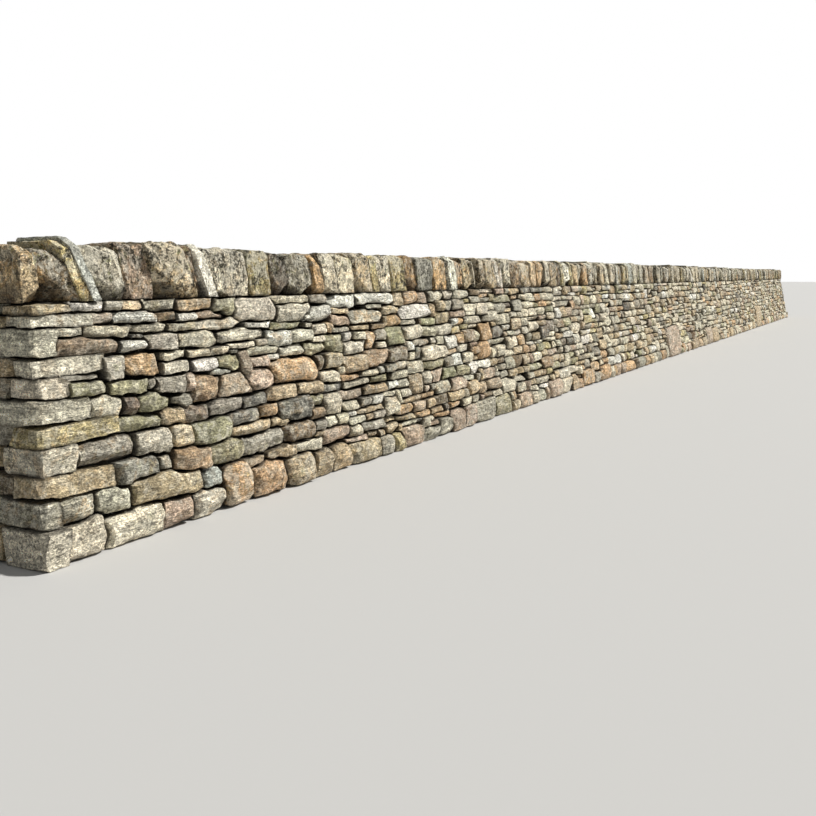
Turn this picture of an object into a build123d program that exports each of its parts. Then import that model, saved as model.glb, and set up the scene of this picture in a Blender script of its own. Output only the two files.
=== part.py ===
from build123d import *
import os
import random

# Dry stone wall: two battered skins of stone with hearting between them, on a footing course
# that stands a little proud. Long and short quoins key both cheek ends into the skins, and a
# row of rough slabs on edge, raked towards the near end, caps it.
# X runs along the wall from the near end to the far end, the front face looks along -Y, Z is
# up, and the origin is under the middle of the wall. Every size is in millimetres.

# The run
BAY_COUNT = 6
BAY_LENGTH = 5300.0

# The cross section
FOOTING_HEIGHT = 190.0
FOOTING_LEDGE = 45.0
FOOTING_BATTER = 0.10
FOOTING_ARRIS = 18.0
BODY_HEIGHT = 1140.0
BODY_BASE_WIDTH = 740.0
FACE_BATTER = 0.155
SKIN_BASE = 250.0
SKIN_TOP = 140.0

# The cheek ends
QUOIN_SHARES = (13, 14, 13, 11, 12, 11, 12, 14, 7, 7)
END_BATTER = 0.04
HEADER_LENGTH = 240.0
STRETCHER_LENGTH = 480.0
STRETCHER_JOINT = 12.0
QUOIN_ARRIS = 9.0

# The cope
COPE_HEIGHT = 320.0
COPE_RISE_SPREAD = 26.0
COPE_OVERHANG = 26.0
COPE_OVERHANG_SPREAD = 16.0
COPE_END_OVERHANG = 34.0
COPE_JOINT = 8.0
COPE_THINNEST = 85.0
COPE_THICKEST = 330.0
COPE_LEAN = 0.33
COPE_LEAN_SPREAD = 0.14
COPE_CREST_DROP = 36.0
COPE_SHOULDER_HEIGHT = 74.0
COPE_SHOULDER_DEPTH = 62.0
COPE_SEED = 27

# The first joints of the cope, as distances from the near end on the bed and at the crest
NEAR_COPE_JOINTS = (
    (118.0, 20.0),
    (395.0, 215.0),
    (475.0, 285.0),
    (535.0, 352.0),
    (745.0, 665.0),
    (1005.0, 860.0),
    (1440.0, 1275.0),
    (1535.0, 1362.0),
    (1880.0, 1800.0),
    (2150.0, 2085.0),
)

# How far the first slabs of the cope rise above its usual height
NEAR_COPE_RISES = (-14.0, -20.0, 10.0, 34.0, -8.0, 12.0, 30.0, 18.0, 8.0, 6.0)

RUN = BAY_COUNT * BAY_LENGTH
NEAR_X = -RUN / 2
FAR_X = RUN / 2
BED_Z = FOOTING_HEIGHT
COPE_BED_Z = FOOTING_HEIGHT + BODY_HEIGHT
HALF_BASE = BODY_BASE_WIDTH / 2
HALF_TOP = HALF_BASE - FACE_BATTER * BODY_HEIGHT
CORE_HALF_BASE = HALF_BASE - SKIN_BASE
CORE_HALF_TOP = HALF_TOP - SKIN_TOP
COURSES = range(len(QUOIN_SHARES))
HEADER_COURSES = COURSES[0::2]
STRETCHER_COURSES = COURSES[1::2]
QUOIN_BEDS = [BED_Z + BODY_HEIGHT * sum(QUOIN_SHARES[:course]) / sum(QUOIN_SHARES) for course in COURSES]
QUOIN_BEDS.append(COPE_BED_Z)


def save(piece, name):
    piece.part.label = name
    export_step(piece.part, f"parts/{name}.step")


def quoin_reach(course):
    # Headers lie in the first, third and every other odd course, and stretchers between them
    return HEADER_LENGTH if course in HEADER_COURSES else STRETCHER_LENGTH


def bay_elevation(bay):
    # The outline of a bay's masonry seen from the front, toothed where quoins key into it
    start = NEAR_X + bay * BAY_LENGTH
    end = start + BAY_LENGTH
    outline = []
    for course in COURSES:
        left = start + quoin_reach(course) if bay == 0 else start
        outline += [(left, QUOIN_BEDS[course]), (left, QUOIN_BEDS[course + 1])]
    for course in reversed(COURSES):
        right = end - quoin_reach(course) if bay == BAY_COUNT - 1 else end
        outline += [(right, QUOIN_BEDS[course + 1]), (right, QUOIN_BEDS[course])]
    kept = []
    for index, point in enumerate(outline):
        before = outline[index - 1]
        after = outline[(index + 1) % len(outline)]
        if point != before and not before[0] == point[0] == after[0]:
            kept.append(point)
    return kept


def masonry(name, section):
    # Runs a cross section along each bay and keys the end bays into the quoins
    for bay in range(BAY_COUNT):
        with BuildPart() as piece:
            with BuildSketch(Plane.XZ):
                with BuildLine():
                    Polyline(*bay_elevation(bay), close=True)
                make_face()
            extrude(amount=HALF_BASE, both=True)
            with BuildSketch(Plane.YZ):
                with BuildLine():
                    Polyline(*section, close=True)
                make_face()
            extrude(amount=FAR_X, both=True, mode=Mode.INTERSECT)
        save(piece, f"{name}_{bay + 1}")


def quoins(name, end_x, inward, courses, inner_y):
    # The quoins of one end in every other course, from inner_y out to each face of the wall
    with BuildPart() as piece:
        for course in courses:
            low = QUOIN_BEDS[course]
            high = QUOIN_BEDS[course + 1]
            lean_low = inward * END_BATTER * (low - BED_Z)
            lean_high = inward * END_BATTER * (high - BED_Z)
            inner_x = end_x + inward * quoin_reach(course)
            with BuildSketch(Plane.XZ):
                with BuildLine():
                    Polyline(
                        (end_x + lean_low, low),
                        (inner_x, low),
                        (inner_x, high),
                        (end_x + lean_high, high),
                        close=True,
                    )
                make_face()
            extrude(amount=HALF_BASE, both=True)
        with BuildSketch(Plane.YZ):
            with BuildLine():
                Polyline(
                    (inner_y, BED_Z),
                    (HALF_BASE, BED_Z),
                    (HALF_TOP, COPE_BED_Z),
                    (inner_y, COPE_BED_Z),
                    close=True,
                )
            make_face()
            mirror(about=Plane.YZ)
        extrude(amount=FAR_X, both=True, mode=Mode.INTERSECT)
        chamfer(piece.edges(), QUOIN_ARRIS)
    save(piece, name)


def cope_joints(chance):
    # Where each joint of the cope meets the bed and the crest, from the near end to the far end
    joints = [(NEAR_X - COPE_END_OVERHANG, NEAR_X - COPE_END_OVERHANG)]
    joints += [(NEAR_X + bed, NEAR_X + crest) for bed, crest in NEAR_COPE_JOINTS]
    last = FAR_X + COPE_END_OVERHANG
    bed = joints[-1][0]
    while last - bed > 2 * COPE_THICKEST:
        bed += chance.triangular(COPE_THINNEST, COPE_THICKEST)
        lean = chance.triangular(COPE_LEAN - COPE_LEAN_SPREAD, COPE_LEAN + COPE_LEAN_SPREAD)
        crest = max(bed - lean * COPE_HEIGHT, joints[-1][1] + COPE_THINNEST / 2)
        joints.append((bed, crest))
    middle = (bed + last) / 2
    joints.append((middle, middle - COPE_LEAN * COPE_HEIGHT / 2))
    joints.append((last, last))
    return joints


def cope_slab(left, right, height, drops, reaches):
    # A slab between two joints: a low gable along the wall, with shoulders over both faces
    def along(joint, rise):
        return joint[0] + (joint[1] - joint[0]) * rise / COPE_HEIGHT

    gap = COPE_JOINT / 2
    left_rise = height - drops[0]
    right_rise = height - drops[1]
    front, back = reaches
    shoulder = height - COPE_SHOULDER_HEIGHT
    with BuildPart() as slab:
        with BuildSketch(Plane.XZ):
            with BuildLine():
                Polyline(
                    (left[0] + gap, COPE_BED_Z),
                    (right[0] - gap, COPE_BED_Z),
                    (along(right, right_rise) - gap, COPE_BED_Z + right_rise),
                    ((along(left, height) + along(right, height)) / 2, COPE_BED_Z + height),
                    (along(left, left_rise) + gap, COPE_BED_Z + left_rise),
                    close=True,
                )
            make_face()
        extrude(amount=front + back, both=True)
        with BuildSketch(Plane.YZ):
            with BuildLine():
                Polyline(
                    (-front, COPE_BED_Z),
                    (back, COPE_BED_Z),
                    (back, COPE_BED_Z + shoulder - drops[0]),
                    (back - COPE_SHOULDER_DEPTH, COPE_BED_Z + height),
                    (COPE_SHOULDER_DEPTH + drops[1] - front, COPE_BED_Z + height),
                    (-front, COPE_BED_Z + shoulder),
                    close=True,
                )
            make_face()
        extrude(amount=2 * FAR_X, both=True, mode=Mode.INTERSECT)
    return slab.part


def cope_slabs():
    # Every slab of the cope, with the X of its middle on the bed
    chance = random.Random(COPE_SEED)
    joints = cope_joints(chance)
    slabs = []
    for index in range(len(joints) - 1):
        left = joints[index]
        right = joints[index + 1]
        rise = chance.triangular(-COPE_RISE_SPREAD, COPE_RISE_SPREAD)
        if index < len(NEAR_COPE_RISES):
            rise = NEAR_COPE_RISES[index]
        drops = [chance.uniform(0.15, 1.0) * COPE_CREST_DROP for side in range(2)]
        reaches = [
            HALF_TOP + COPE_OVERHANG + chance.uniform(-1.0, 1.0) * COPE_OVERHANG_SPREAD for side in range(2)
        ]
        slab = cope_slab(left, right, COPE_HEIGHT + rise, drops, reaches)
        slabs.append(((left[0] + right[0]) / 2, slab))
    return slabs


os.makedirs("parts", exist_ok=True)

# Footing course, with an eased arris along both ledges
for bay in range(BAY_COUNT):
    bay_start = NEAR_X + bay * BAY_LENGTH - (FOOTING_LEDGE if bay == 0 else 0)
    bay_end = NEAR_X + (bay + 1) * BAY_LENGTH + (FOOTING_LEDGE if bay == BAY_COUNT - 1 else 0)
    ledge_y = HALF_BASE + FOOTING_LEDGE
    with BuildPart() as footing:
        with BuildSketch(Plane.YZ.offset(bay_start)):
            with BuildLine():
                Polyline(
                    (-ledge_y - FOOTING_BATTER * FOOTING_HEIGHT, 0),
                    (ledge_y + FOOTING_BATTER * FOOTING_HEIGHT, 0),
                    (ledge_y, FOOTING_HEIGHT),
                    (-ledge_y, FOOTING_HEIGHT),
                    close=True,
                )
            make_face()
        extrude(amount=bay_end - bay_start)
        fillet(footing.edges().filter_by(Axis.X).group_by(Axis.Z)[-1], FOOTING_ARRIS)
    save(footing, f"footing_{bay + 1}")

# Both skins, and the hearting packed between them
front_section = [
    (-HALF_BASE, BED_Z),
    (-CORE_HALF_BASE, BED_Z),
    (-CORE_HALF_TOP, COPE_BED_Z),
    (-HALF_TOP, COPE_BED_Z),
]
masonry("front_face", front_section)
masonry("back_face", [(-y, z) for y, z in front_section])
masonry(
    "hearting",
    [
        (-CORE_HALF_BASE, BED_Z),
        (CORE_HALF_BASE, BED_Z),
        (CORE_HALF_TOP, COPE_BED_Z),
        (-CORE_HALF_TOP, COPE_BED_Z),
    ],
)

# Headers right across each cheek end, and pairs of stretchers along the faces between them
quoins("near_end_headers", NEAR_X, 1, HEADER_COURSES, 0)
quoins("near_end_stretchers", NEAR_X, 1, STRETCHER_COURSES, STRETCHER_JOINT / 2)
quoins("far_end_headers", FAR_X, -1, HEADER_COURSES, 0)
quoins("far_end_stretchers", FAR_X, -1, STRETCHER_COURSES, STRETCHER_JOINT / 2)

# Raked cope, gathered bay by bay
all_slabs = cope_slabs()
for bay in range(BAY_COUNT):
    bay_start = NEAR_X + bay * BAY_LENGTH if bay > 0 else NEAR_X - BAY_LENGTH
    bay_end = NEAR_X + (bay + 1) * BAY_LENGTH if bay < BAY_COUNT - 1 else FAR_X + BAY_LENGTH
    with BuildPart() as cope:
        add([slab for middle, slab in all_slabs if bay_start <= middle < bay_end])
    save(cope, f"cope_{bay + 1}")
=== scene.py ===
import itertools
import math

import bmesh
import bpy
import numpy as np
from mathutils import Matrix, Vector


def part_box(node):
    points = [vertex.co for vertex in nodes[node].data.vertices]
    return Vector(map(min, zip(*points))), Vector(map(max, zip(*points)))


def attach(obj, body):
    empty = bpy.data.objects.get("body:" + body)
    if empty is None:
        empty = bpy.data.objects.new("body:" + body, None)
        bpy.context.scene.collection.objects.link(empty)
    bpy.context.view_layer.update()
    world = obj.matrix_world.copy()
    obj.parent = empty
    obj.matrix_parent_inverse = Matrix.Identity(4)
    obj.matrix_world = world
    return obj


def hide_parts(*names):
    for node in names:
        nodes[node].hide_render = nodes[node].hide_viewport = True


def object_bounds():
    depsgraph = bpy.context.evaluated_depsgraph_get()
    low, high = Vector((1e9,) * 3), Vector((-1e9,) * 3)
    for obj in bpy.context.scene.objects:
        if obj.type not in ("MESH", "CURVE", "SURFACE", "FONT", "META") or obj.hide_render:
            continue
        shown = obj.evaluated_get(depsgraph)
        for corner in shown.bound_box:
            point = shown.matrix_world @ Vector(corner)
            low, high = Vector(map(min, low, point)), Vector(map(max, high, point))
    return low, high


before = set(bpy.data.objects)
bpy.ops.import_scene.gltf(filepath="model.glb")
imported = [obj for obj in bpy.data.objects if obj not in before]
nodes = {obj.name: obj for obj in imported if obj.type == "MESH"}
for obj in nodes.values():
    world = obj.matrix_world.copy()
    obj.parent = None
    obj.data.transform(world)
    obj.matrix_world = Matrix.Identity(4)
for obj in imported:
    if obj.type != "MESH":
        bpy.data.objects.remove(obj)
cad_low, cad_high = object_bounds()

# Sizes in metres, most of them read from the CAD nodes

BAYS = sum(1 for n in nodes if n.startswith("footing_"))
bay_low, bay_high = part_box("front_face_2")
BAY = bay_high.x - bay_low.x
RUN = BAY * BAYS
NEAR_X = bay_low.x - BAY
BED_Z, COPE_Z = bay_low.z, bay_high.z
BASE_HALF = -bay_low.y
TOP_HALF = max(-v.co.y for v in nodes["front_face_2"].data.vertices if v.co.z > COPE_Z - 0.01)
BATTER = (BASE_HALF - TOP_HALF) / (COPE_Z - BED_Z)
# room left for the relief of the footing stones, and how much their faces lean in
FOOT_ROOM, FOOT_BATTER = 0.032, 0.10
FOOT_HALF = -cad_low.y - FOOT_ROOM
END_BATTER = 0.04
# how far inside the box of the CAD model the stones stay
INSIDE = 0.0005


def half_width(z):
    """From the middle of the wall to its face, at height z."""
    return BASE_HALF - BATTER * (z - BED_Z)


def foot_width(z):
    """The same in the footing course."""
    return FOOT_HALF - FOOT_BATTER * z


def add_object(name, data):
    obj = bpy.data.objects.new(name, data)
    bpy.context.scene.collection.objects.link(obj)
    return obj


def aim(obj, way):
    """Turns a camera or a lamp to look along a direction."""
    obj.rotation_mode = "QUATERNION"
    obj.rotation_quaternion = Vector(way).to_track_quat("-Z", "Y")


# Camera

IMAGE_PX, FOCAL_PX, HORIZON_PX = 816.0, 941.0, 275.0
SENSOR_MM = 36.0
# how far it stands before the near end, off the foot of the front face and above the floor
CAMERA_BEFORE, CAMERA_OFF, CAMERA_UP = 3.285, 3.767, 1.473
CAMERA_WAY = (0.8823, 0.4707, 0.0)

lens = bpy.data.cameras.new("camera")
lens.sensor_width = SENSOR_MM
lens.lens = SENSOR_MM * FOCAL_PX / IMAGE_PX
lens.shift_y = (HORIZON_PX - IMAGE_PX / 2) / IMAGE_PX
lens.clip_start, lens.clip_end = 0.1, 500.0
camera = add_object("camera", lens)
camera.location = (NEAR_X - CAMERA_BEFORE, -half_width(0) - CAMERA_OFF, CAMERA_UP)
aim(camera, CAMERA_WAY)
bpy.context.scene.camera = camera

# Tones of the stones


def linear(r, g, b):
    c = np.array([r, g, b], float) / 255
    return np.where(c < 0.04045, c / 12.92, ((c + 0.055) / 1.055) ** 2.4)


TONE_RGB = dict(
    white=(226, 222, 209), cream=(212, 203, 179), pale=(194, 188, 168), grey=(160, 154, 138),
    green=(158, 154, 124), tan=(186, 168, 137), orange=(194, 164, 127), rust=(163, 141, 114),
    pink=(182, 163, 142), yellow=(184, 171, 129), slate=(116, 113, 104), purple=(124, 112, 100),
    brown=(126, 112, 92), blue=(190, 194, 186),
)
TONES = {name: linear(*tone) for name, tone in TONE_RGB.items()}
# how common each tone is: in the wall, in the footing course and along the cope
MIX = {
    "wall": dict(
        white=7, cream=25, pale=20, grey=10, green=8, tan=18, orange=5, rust=3, pink=6, yellow=4,
        slate=2, purple=2, brown=2,
    ),
    "base": dict(cream=9, pale=8, grey=6, green=5, tan=27, orange=22, rust=5, pink=17, brown=4),
    "cope": dict(
        white=9, pale=13, cream=18, grey=7, green=8, tan=24, orange=8, rust=7, yellow=10, purple=3,
        blue=2,
    ),
}
# no stone is lighter than this
LIGHTEST = 0.85


def pick_tones(rng, mix, count):
    names = list(MIX[mix])
    share = np.array([MIX[mix][n] for n in names], float)
    return [names[i] for i in rng.choice(len(names), count, p=share / share.sum())]


def looks(rng, tones, lichen):
    """Tone and trait of each stone: trait is lichen, iron stain and bedding, each from 0 to 1."""
    count = len(tones)
    tone = np.array([TONES[t] for t in tones])
    tone = tone * rng.uniform(0.90, 1.22, (count, 1)) * rng.uniform(0.98, 1.02, (count, 3))
    lichens = np.clip(rng.normal(lichen, 0.22, count), 0, 1)
    irons = np.clip(rng.normal(0.3, 0.25, count), 0, 1)
    trait = np.stack([lichens, irons, rng.uniform(0.2, 1.0, count)], -1)
    return np.minimum(tone, LIGHTEST), trait


# Noise

MIXERS = [np.uint32(n) for n in (374761393, 668265263, 2246822519, 1274126177, 2654435769)]


def lattice(x, y, z, seed):
    """A value from -1 to 1 for each lattice point."""
    h = x * MIXERS[0] + y * MIXERS[1] + z * MIXERS[2] + np.uint32(seed * 40503 + 977)
    h = (h ^ (h >> np.uint32(13))) * MIXERS[3]
    h = (h ^ (h >> np.uint32(16))) * MIXERS[4]
    return (h >> np.uint32(8)).astype(np.float32) / 8388608.0 - 1.0


def noise(p, seed, angular=False):
    """Lattice noise from -1 to 1 for points (..., 3) in lattice units, smooth or with straight runs."""
    low = np.floor(p)
    f = (p - low).astype(np.float32)
    if not angular:
        f = f * f * (3 - 2 * f)
    low = low.astype(np.int64).astype(np.uint32)
    total = 0
    for corner in np.ndindex(2, 2, 2):
        x, y, z = (low[..., i] + np.uint32(far) for i, far in enumerate(corner))
        wx, wy, wz = (f[..., i] if far else 1 - f[..., i] for i, far in enumerate(corner))
        total = total + wx * wy * wz * lattice(x, y, z, seed)
    return total


def flat(x, y):
    return np.stack([x, y, np.zeros_like(x)], -1)


def roughness(p, layers, seed):
    """Angular noise at several sizes: height, lattice cells in a metre and what is added to seed."""
    return sum(high * noise(p * scale, seed + step, True) for high, scale, step in layers)


# Meshes from arrays

SHARP_DEGREES = 27


def keep(mesh, name, kind, field, values):
    """Keeps a value for each vertex, for the material."""
    attribute = mesh.attributes.new(name, kind, "POINT")
    attribute.data.foreach_set(field, values.astype(np.float32).ravel())


def new_mesh(name, verts, quads, tris, tone, shift, trait, depth):
    """One object of many closed stones."""
    mesh = bpy.data.meshes.new(name)
    loops = np.concatenate([quads.ravel(), tris.ravel()]).astype(np.int32)
    sizes = np.concatenate([np.full(len(quads), 4), np.full(len(tris), 3)])
    mesh.vertices.add(len(verts))
    mesh.vertices.foreach_set("co", verts.astype(np.float32).ravel())
    mesh.loops.add(len(loops))
    mesh.loops.foreach_set("vertex_index", loops)
    mesh.polygons.add(len(sizes))
    mesh.polygons.foreach_set("loop_start", (np.cumsum(sizes) - sizes).astype(np.int32))
    mesh.update(calc_edges=True)
    mesh.validate()
    keep(mesh, "tone", "FLOAT_COLOR", "color", np.concatenate([tone, np.ones((len(tone), 1))], 1))
    keep(mesh, "shift", "FLOAT_VECTOR", "vector", shift)
    keep(mesh, "trait", "FLOAT_VECTOR", "vector", trait)
    # depth darkens each point towards JOINT_SHADE: painted shade in joints and hollows
    keep(mesh, "depth", "FLOAT", "value", depth)
    mesh.shade_smooth()
    mesh.set_sharp_from_angle(angle=math.radians(SHARP_DEGREES))
    return add_object(name, mesh)


class Heap:
    """Stones gathered for one piece, of any number of shapes."""

    def __init__(self):
        self.parts = []
        self.count = 0

    def add(self, verts, quads, tris, tone, shift, trait, depth):
        """verts (S, V, 3) with one quads and tris template; tone, shift, trait (S, 3); depth (S, V), the
        painted shade of each point.
        """
        s, v = verts.shape[:2]
        base = self.count + (np.arange(s) * v)[:, None, None]
        faces = [(quads[None] + base).reshape(-1, 4), (tris[None] + base).reshape(-1, 3)]
        spread = [np.repeat(a, v, axis=0) for a in (tone, shift, trait)]
        self.parts.append((verts.reshape(-1, 3), *faces, *spread, depth.reshape(-1)))
        self.count += s * v

    def build(self, name):
        return new_mesh(name, *[np.concatenate(a) for a in zip(*self.parts)])


# Laying out the stones of a face

# a cell of the skyline that stones are laid on, and how level a bed is
CELL, LEVEL = 0.01, 0.02
# a stone whose bed is lower than this stands on the floor
ON_FLOOR = 0.03
# the least and most height of a kind of stone, with its length as a share of that, or in metres
BOULDER = (0.11, 0.23), (0.9, 2.6)
BLOCK = (0.12, 0.19), (1.3, 2.8)
PINNING = (0.06, 0.10), (0.09, 0.15)
SLAB = (0.047, 0.074), (0.16, 0.48)
BLOCK_SHARE, PINNING_SHARE = 0.07, 0.06
# stones that come up level with one beside them: heights they may have, change of height, share
STEP_HEIGHTS, STEP_CHANGE, STEP_SHARE = (0.035, 0.17), 0.05, 0.85
# how much of a laid stone others may cover, and the least that may be left of it, along and up
MOST_COVERED, LEAST_ALONG, LEAST_UP = 0.34, 0.05, 0.034
# pinning stones that fill holes: cells along and up, least and most
PIN_ALONG, PIN_UP = (5, 30), (4, 12)


class Stones:
    """Rectangles laid on a face: middle s, z, half sizes w, h, tilt, taper, and how each stone looks."""

    KEYS = ("s", "z", "w", "h", "tilt", "taper", "round", "out", "bulge")

    def __init__(self, rows, tones, rng):
        for key, values in zip(self.KEYS, zip(*rows)):
            setattr(self, key, np.array(values, float))
        self.tone = tones
        self.corner = np.minimum(self.w, self.h) * np.clip(0.03 + 0.9 * self.round**3, 0.03, 0.9)
        # three corners of each stone are broken off, some by next to nothing
        count = len(rows)
        corner = np.argsort(rng.random((count, 4)), 1)[:, :3]
        right, up = np.array([1, 1, -1, -1])[corner], np.array([1, -1, 1, -1])[corner]
        w, h = self.w[:, None], self.h[:, None]
        a = w * rng.uniform(0.03, 0.55, (count, 3))
        b = h * rng.uniform(0.06, 0.72, (count, 3)) * (0.35 + 0.65 * self.round[:, None])
        span = np.hypot(a, b)
        self.cut_x, self.cut_y = right * b / span, up * a / span
        self.cut_at = (w * b + (h - b) * a) / span


def stone_size(rng, s, z):
    """Height and length of the next stone at s along the wall and z up it: boulders low, slabs above."""
    far = min(1.0, max(0.0, (s - 4.0) / 3.0))
    slabby = 0.30 - 0.08 * far + 0.16 * math.sin(s * 0.9 + 1.0) + 0.14 * math.sin(s * 0.37 + z * 4.0)
    slabby += 0.2 * (z - 0.5)
    kind = rng.random()
    if z < ON_FLOOR:
        heights, shares = BOULDER
    elif kind < BLOCK_SHARE:
        heights, shares = BLOCK
    elif kind < BLOCK_SHARE + PINNING_SHARE:
        return tuple(rng.uniform(*sizes) for sizes in PINNING)
    elif rng.random() < slabby:
        return tuple(rng.uniform(*sizes) for sizes in SLAB)
    else:
        heights, shares = (0.07 + 0.012 * far, 0.118 + 0.026 * far), (1.4, 3.6 - 0.8 * far)
    high = rng.uniform(*heights)
    return high, high * rng.uniform(*shares)


def lowest_bed(sky):
    """Height of the lowest bed, and the cells that it runs from and to."""
    low = sky.min()
    a = b = int(sky.argmin())
    while a > 0 and sky[a - 1] < low + LEVEL:
        a -= 1
    while b < len(sky) - 1 and sky[b + 1] < low + LEVEL:
        b += 1
    return low, a, b + 1


def height_that_fits(rng, high, steps, room):
    """Most stones come up level with one beside them, and the last ones with the cope."""
    least, most = STEP_HEIGHTS
    steps = [d for d in steps if least < d < most and abs(d - high) < STEP_CHANGE]
    if steps and rng.random() < STEP_SHARE:
        high = steps[0]
    if room < high + 0.04:
        high = room if room < 0.16 else room * rng.uniform(0.42, 0.58)
    return high


def length_that_fits(rng, wish, free, high):
    """The last stones of a bed share what is left of it."""
    if free < wish + 0.10:
        return free if free < max(0.62, 5 * high) else free / 2
    if free < 2 * wish:
        return free / 2 * rng.uniform(0.8, 1.2)
    return wish


def off_the_joints(joints, a, b, cells):
    """Keeps the upright joints from running on through the course below."""
    for shift in (0, 4, -4, 7, -7, 10) if cells < b - a else ():
        end = a + cells + shift
        if a + 8 < end < b - 8 and not joints[max(0, end - 3) : end + 4].any():
            return end
    return a + cells


def lay_courses(rng):
    """Lays stones one at a time on the lowest free bed. Returns rectangles (s0, s1, z0, z1)."""
    count = int(RUN / CELL)
    sky = np.zeros(count)
    joints = np.zeros(count, bool)
    laid = []
    while sky.min() < COPE_Z - LEVEL:
        low, a, b = lowest_bed(sky)
        high, wish = stone_size(rng, a * CELL, low)
        steps = [sky[j] - low for j in (a - 1, b) if 0 <= j < count]
        high = height_that_fits(rng, high, steps, COPE_Z - low)
        wish = length_that_fits(rng, wish, (b - a) * CELL, high)
        end = off_the_joints(joints, a, b, max(2, min(b - a, int(round(wish / CELL)))))
        z0 = float(np.mean(sky[a:end]))
        z1 = min(max(low + high, z0 + 0.03), COPE_Z)
        laid.append((a * CELL, end * CELL, z0, z1))
        sky[a:end] = z1
        joints[a:end] = False
        joints[[a, min(count - 1, end)]] = True
    return laid


def overlap(a, b):
    """How far two rectangles overlap, along the wall and up it."""
    return min(a[1], b[1]) - max(a[0], b[0]), min(a[3], b[3]) - max(a[2], b[2])


def fit_around(laid, fixed):
    """Drops laid rectangles that fixed ones cover, and trims those that they cut into."""
    kept = []
    for rect in laid:
        s0, s1, z0, z1 = rect
        near = [f for f in fixed if min(overlap(rect, f)) > 0]
        if sum(math.prod(overlap(rect, f)) for f in near) > MOST_COVERED * ((s1 - s0) * (z1 - z0)):
            continue
        for f in near:
            along, up = overlap((s0, s1, z0, z1), f)
            if along <= 0 or up <= 0:
                continue
            if along < up * 2:
                s0, s1 = (f[1], s1) if f[0] < s0 else (s0, f[0])
            elif f[2] < z0:
                z0 = f[3]
            else:
                z1 = f[2]
        if s1 - s0 > LEAST_ALONG and z1 - z0 > LEAST_UP:
            kept.append((s0, s1, z0, z1))
    return kept


def fill_holes(rects):
    """Pinning stones for whatever no rectangle covers."""
    columns, rows = int(RUN / CELL), int(COPE_Z / CELL)
    taken = np.zeros((rows, columns), bool)
    for rect in rects:
        a, b, c, d = (max(int(round(x / CELL)), 0) for x in rect)
        taken[c:d, a:b] = True
    pins = []
    for c in range(rows):
        a = 0
        while a < columns:
            if taken[c, a]:
                a += 1
                continue
            b, d = a, c + 1
            while b < columns and not taken[c, b] and b - a < PIN_ALONG[1]:
                b += 1
            while d < rows and d - c < min(PIN_UP[1], 2 * (b - a)) and not taken[d, a:b].any():
                d += 1
            if b - a >= PIN_ALONG[0] and d - c >= PIN_UP[0]:
                pins.append((a * CELL, b * CELL, c * CELL, d * CELL))
                taken[c:d, a:b] = True
            a = b
    return pins


# Outlines of the stones of a face

# how far grid lines crowd towards a stone's edges, and the counts of cells that a side may have
EDGE_CROWDING = 0.33
GRID_STEPS = (3, 4, 5, 6, 8, 10, 12, 15, 18, 22, 27, 33, 40)
# the wander of the outlines: how far, and lattice cells in a metre along and up
BENDS = ((0.010, 8, 13), (0.0055, 23, 31), (0.0028, 52, 60))
# how far stones grow into open ground between them, and the places tried along each ray
GROWTH = 0.013
RAY_PLACES = np.linspace(0.45, 1.45, 21)
OUT_OF_REACH = 9.0
# how many outlines are worked out at once
BATCH = 60


def box_distance(st, k, s, z):
    """Signed distance from points to the outlines of stones k, less than 0 inside."""
    ds, dz = s - st.s[k], z - st.z[k]
    c, n = np.cos(st.tilt[k]), np.sin(st.tilt[k])
    x, y = ds * c + dz * n, dz * c - ds * n
    r = st.corner[k]
    dx = np.abs(x) - st.w[k] * (1 + st.taper[k] * y / st.h[k]) + r
    dy = np.abs(y) - st.h[k] + r
    d = np.hypot(np.maximum(dx, 0), np.maximum(dy, 0)) + np.minimum(np.maximum(dx, dy), 0) - r
    for j in range(3):
        d = np.maximum(d, st.cut_x[k, j] * x + st.cut_y[k, j] * y - st.cut_at[k, j])
    return d


def bend(s, z, seed):
    """The small wander that neighbouring outlines share."""
    ds, dz = 0.0, 0.0
    for i, (size, along, up) in enumerate(BENDS):
        p = flat(s * along, z * up)
        ds = ds + size * noise(p, seed + 2 * i, True)
        dz = dz + 0.7 * size * noise(p, seed + 2 * i + 1, True)
    return s + ds, z + dz


def grid_steps(wish):
    return next((n for n in GRID_STEPS if n >= wish), GRID_STEPS[-1])


def spaced(n):
    """n + 1 places from -1 to 1 that crowd towards both ends."""
    t = np.linspace(-1, 1, n + 1)
    return t * (1 + EDGE_CROWDING * (1 - t * t))


def perimeter(nu, nv):
    """Points round the square from -1 to 1, corners included: nu along its bed and top, nv up each side."""
    u, v = spaced(nu)[:-1], spaced(nv)[:-1]
    one_u, one_v = np.ones(nu), np.ones(nv)
    sides = [(u, -one_u), (one_v, v), (-u, one_u), (-one_v, -v)]
    return np.concatenate([np.stack(side, 1) for side in sides])


def rounded(st, k, q):
    """Points q of the unit square's edge, carried to stone k's box with its corners rounded."""
    w, h = st.w[k][:, None], st.h[k][:, None]
    wide = w * (1 + st.taper[k][:, None] * q[:, 1])
    x, y = q[:, 0] * wide, q[:, 1] * h
    r = np.minimum(wide, h) * 0.35
    xi, yi = np.clip(x, -(wide - r), wide - r), np.clip(y, -(h - r), h - r)
    dx, dy = x - xi, y - yi
    far = np.maximum(np.hypot(dx, dy), 1e-9)
    return xi + dx / far * r, yi + dy / far * r


def neighbours(st, i):
    """The stones that may meet stone i."""
    beside = np.abs(st.s - st.s[i]) < st.w + 0.10 + st.w[i]
    level = np.abs(st.z - st.z[i]) < st.h + 0.06 + st.h[i]
    near = np.flatnonzero(beside & level)
    return near[near != i]


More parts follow.
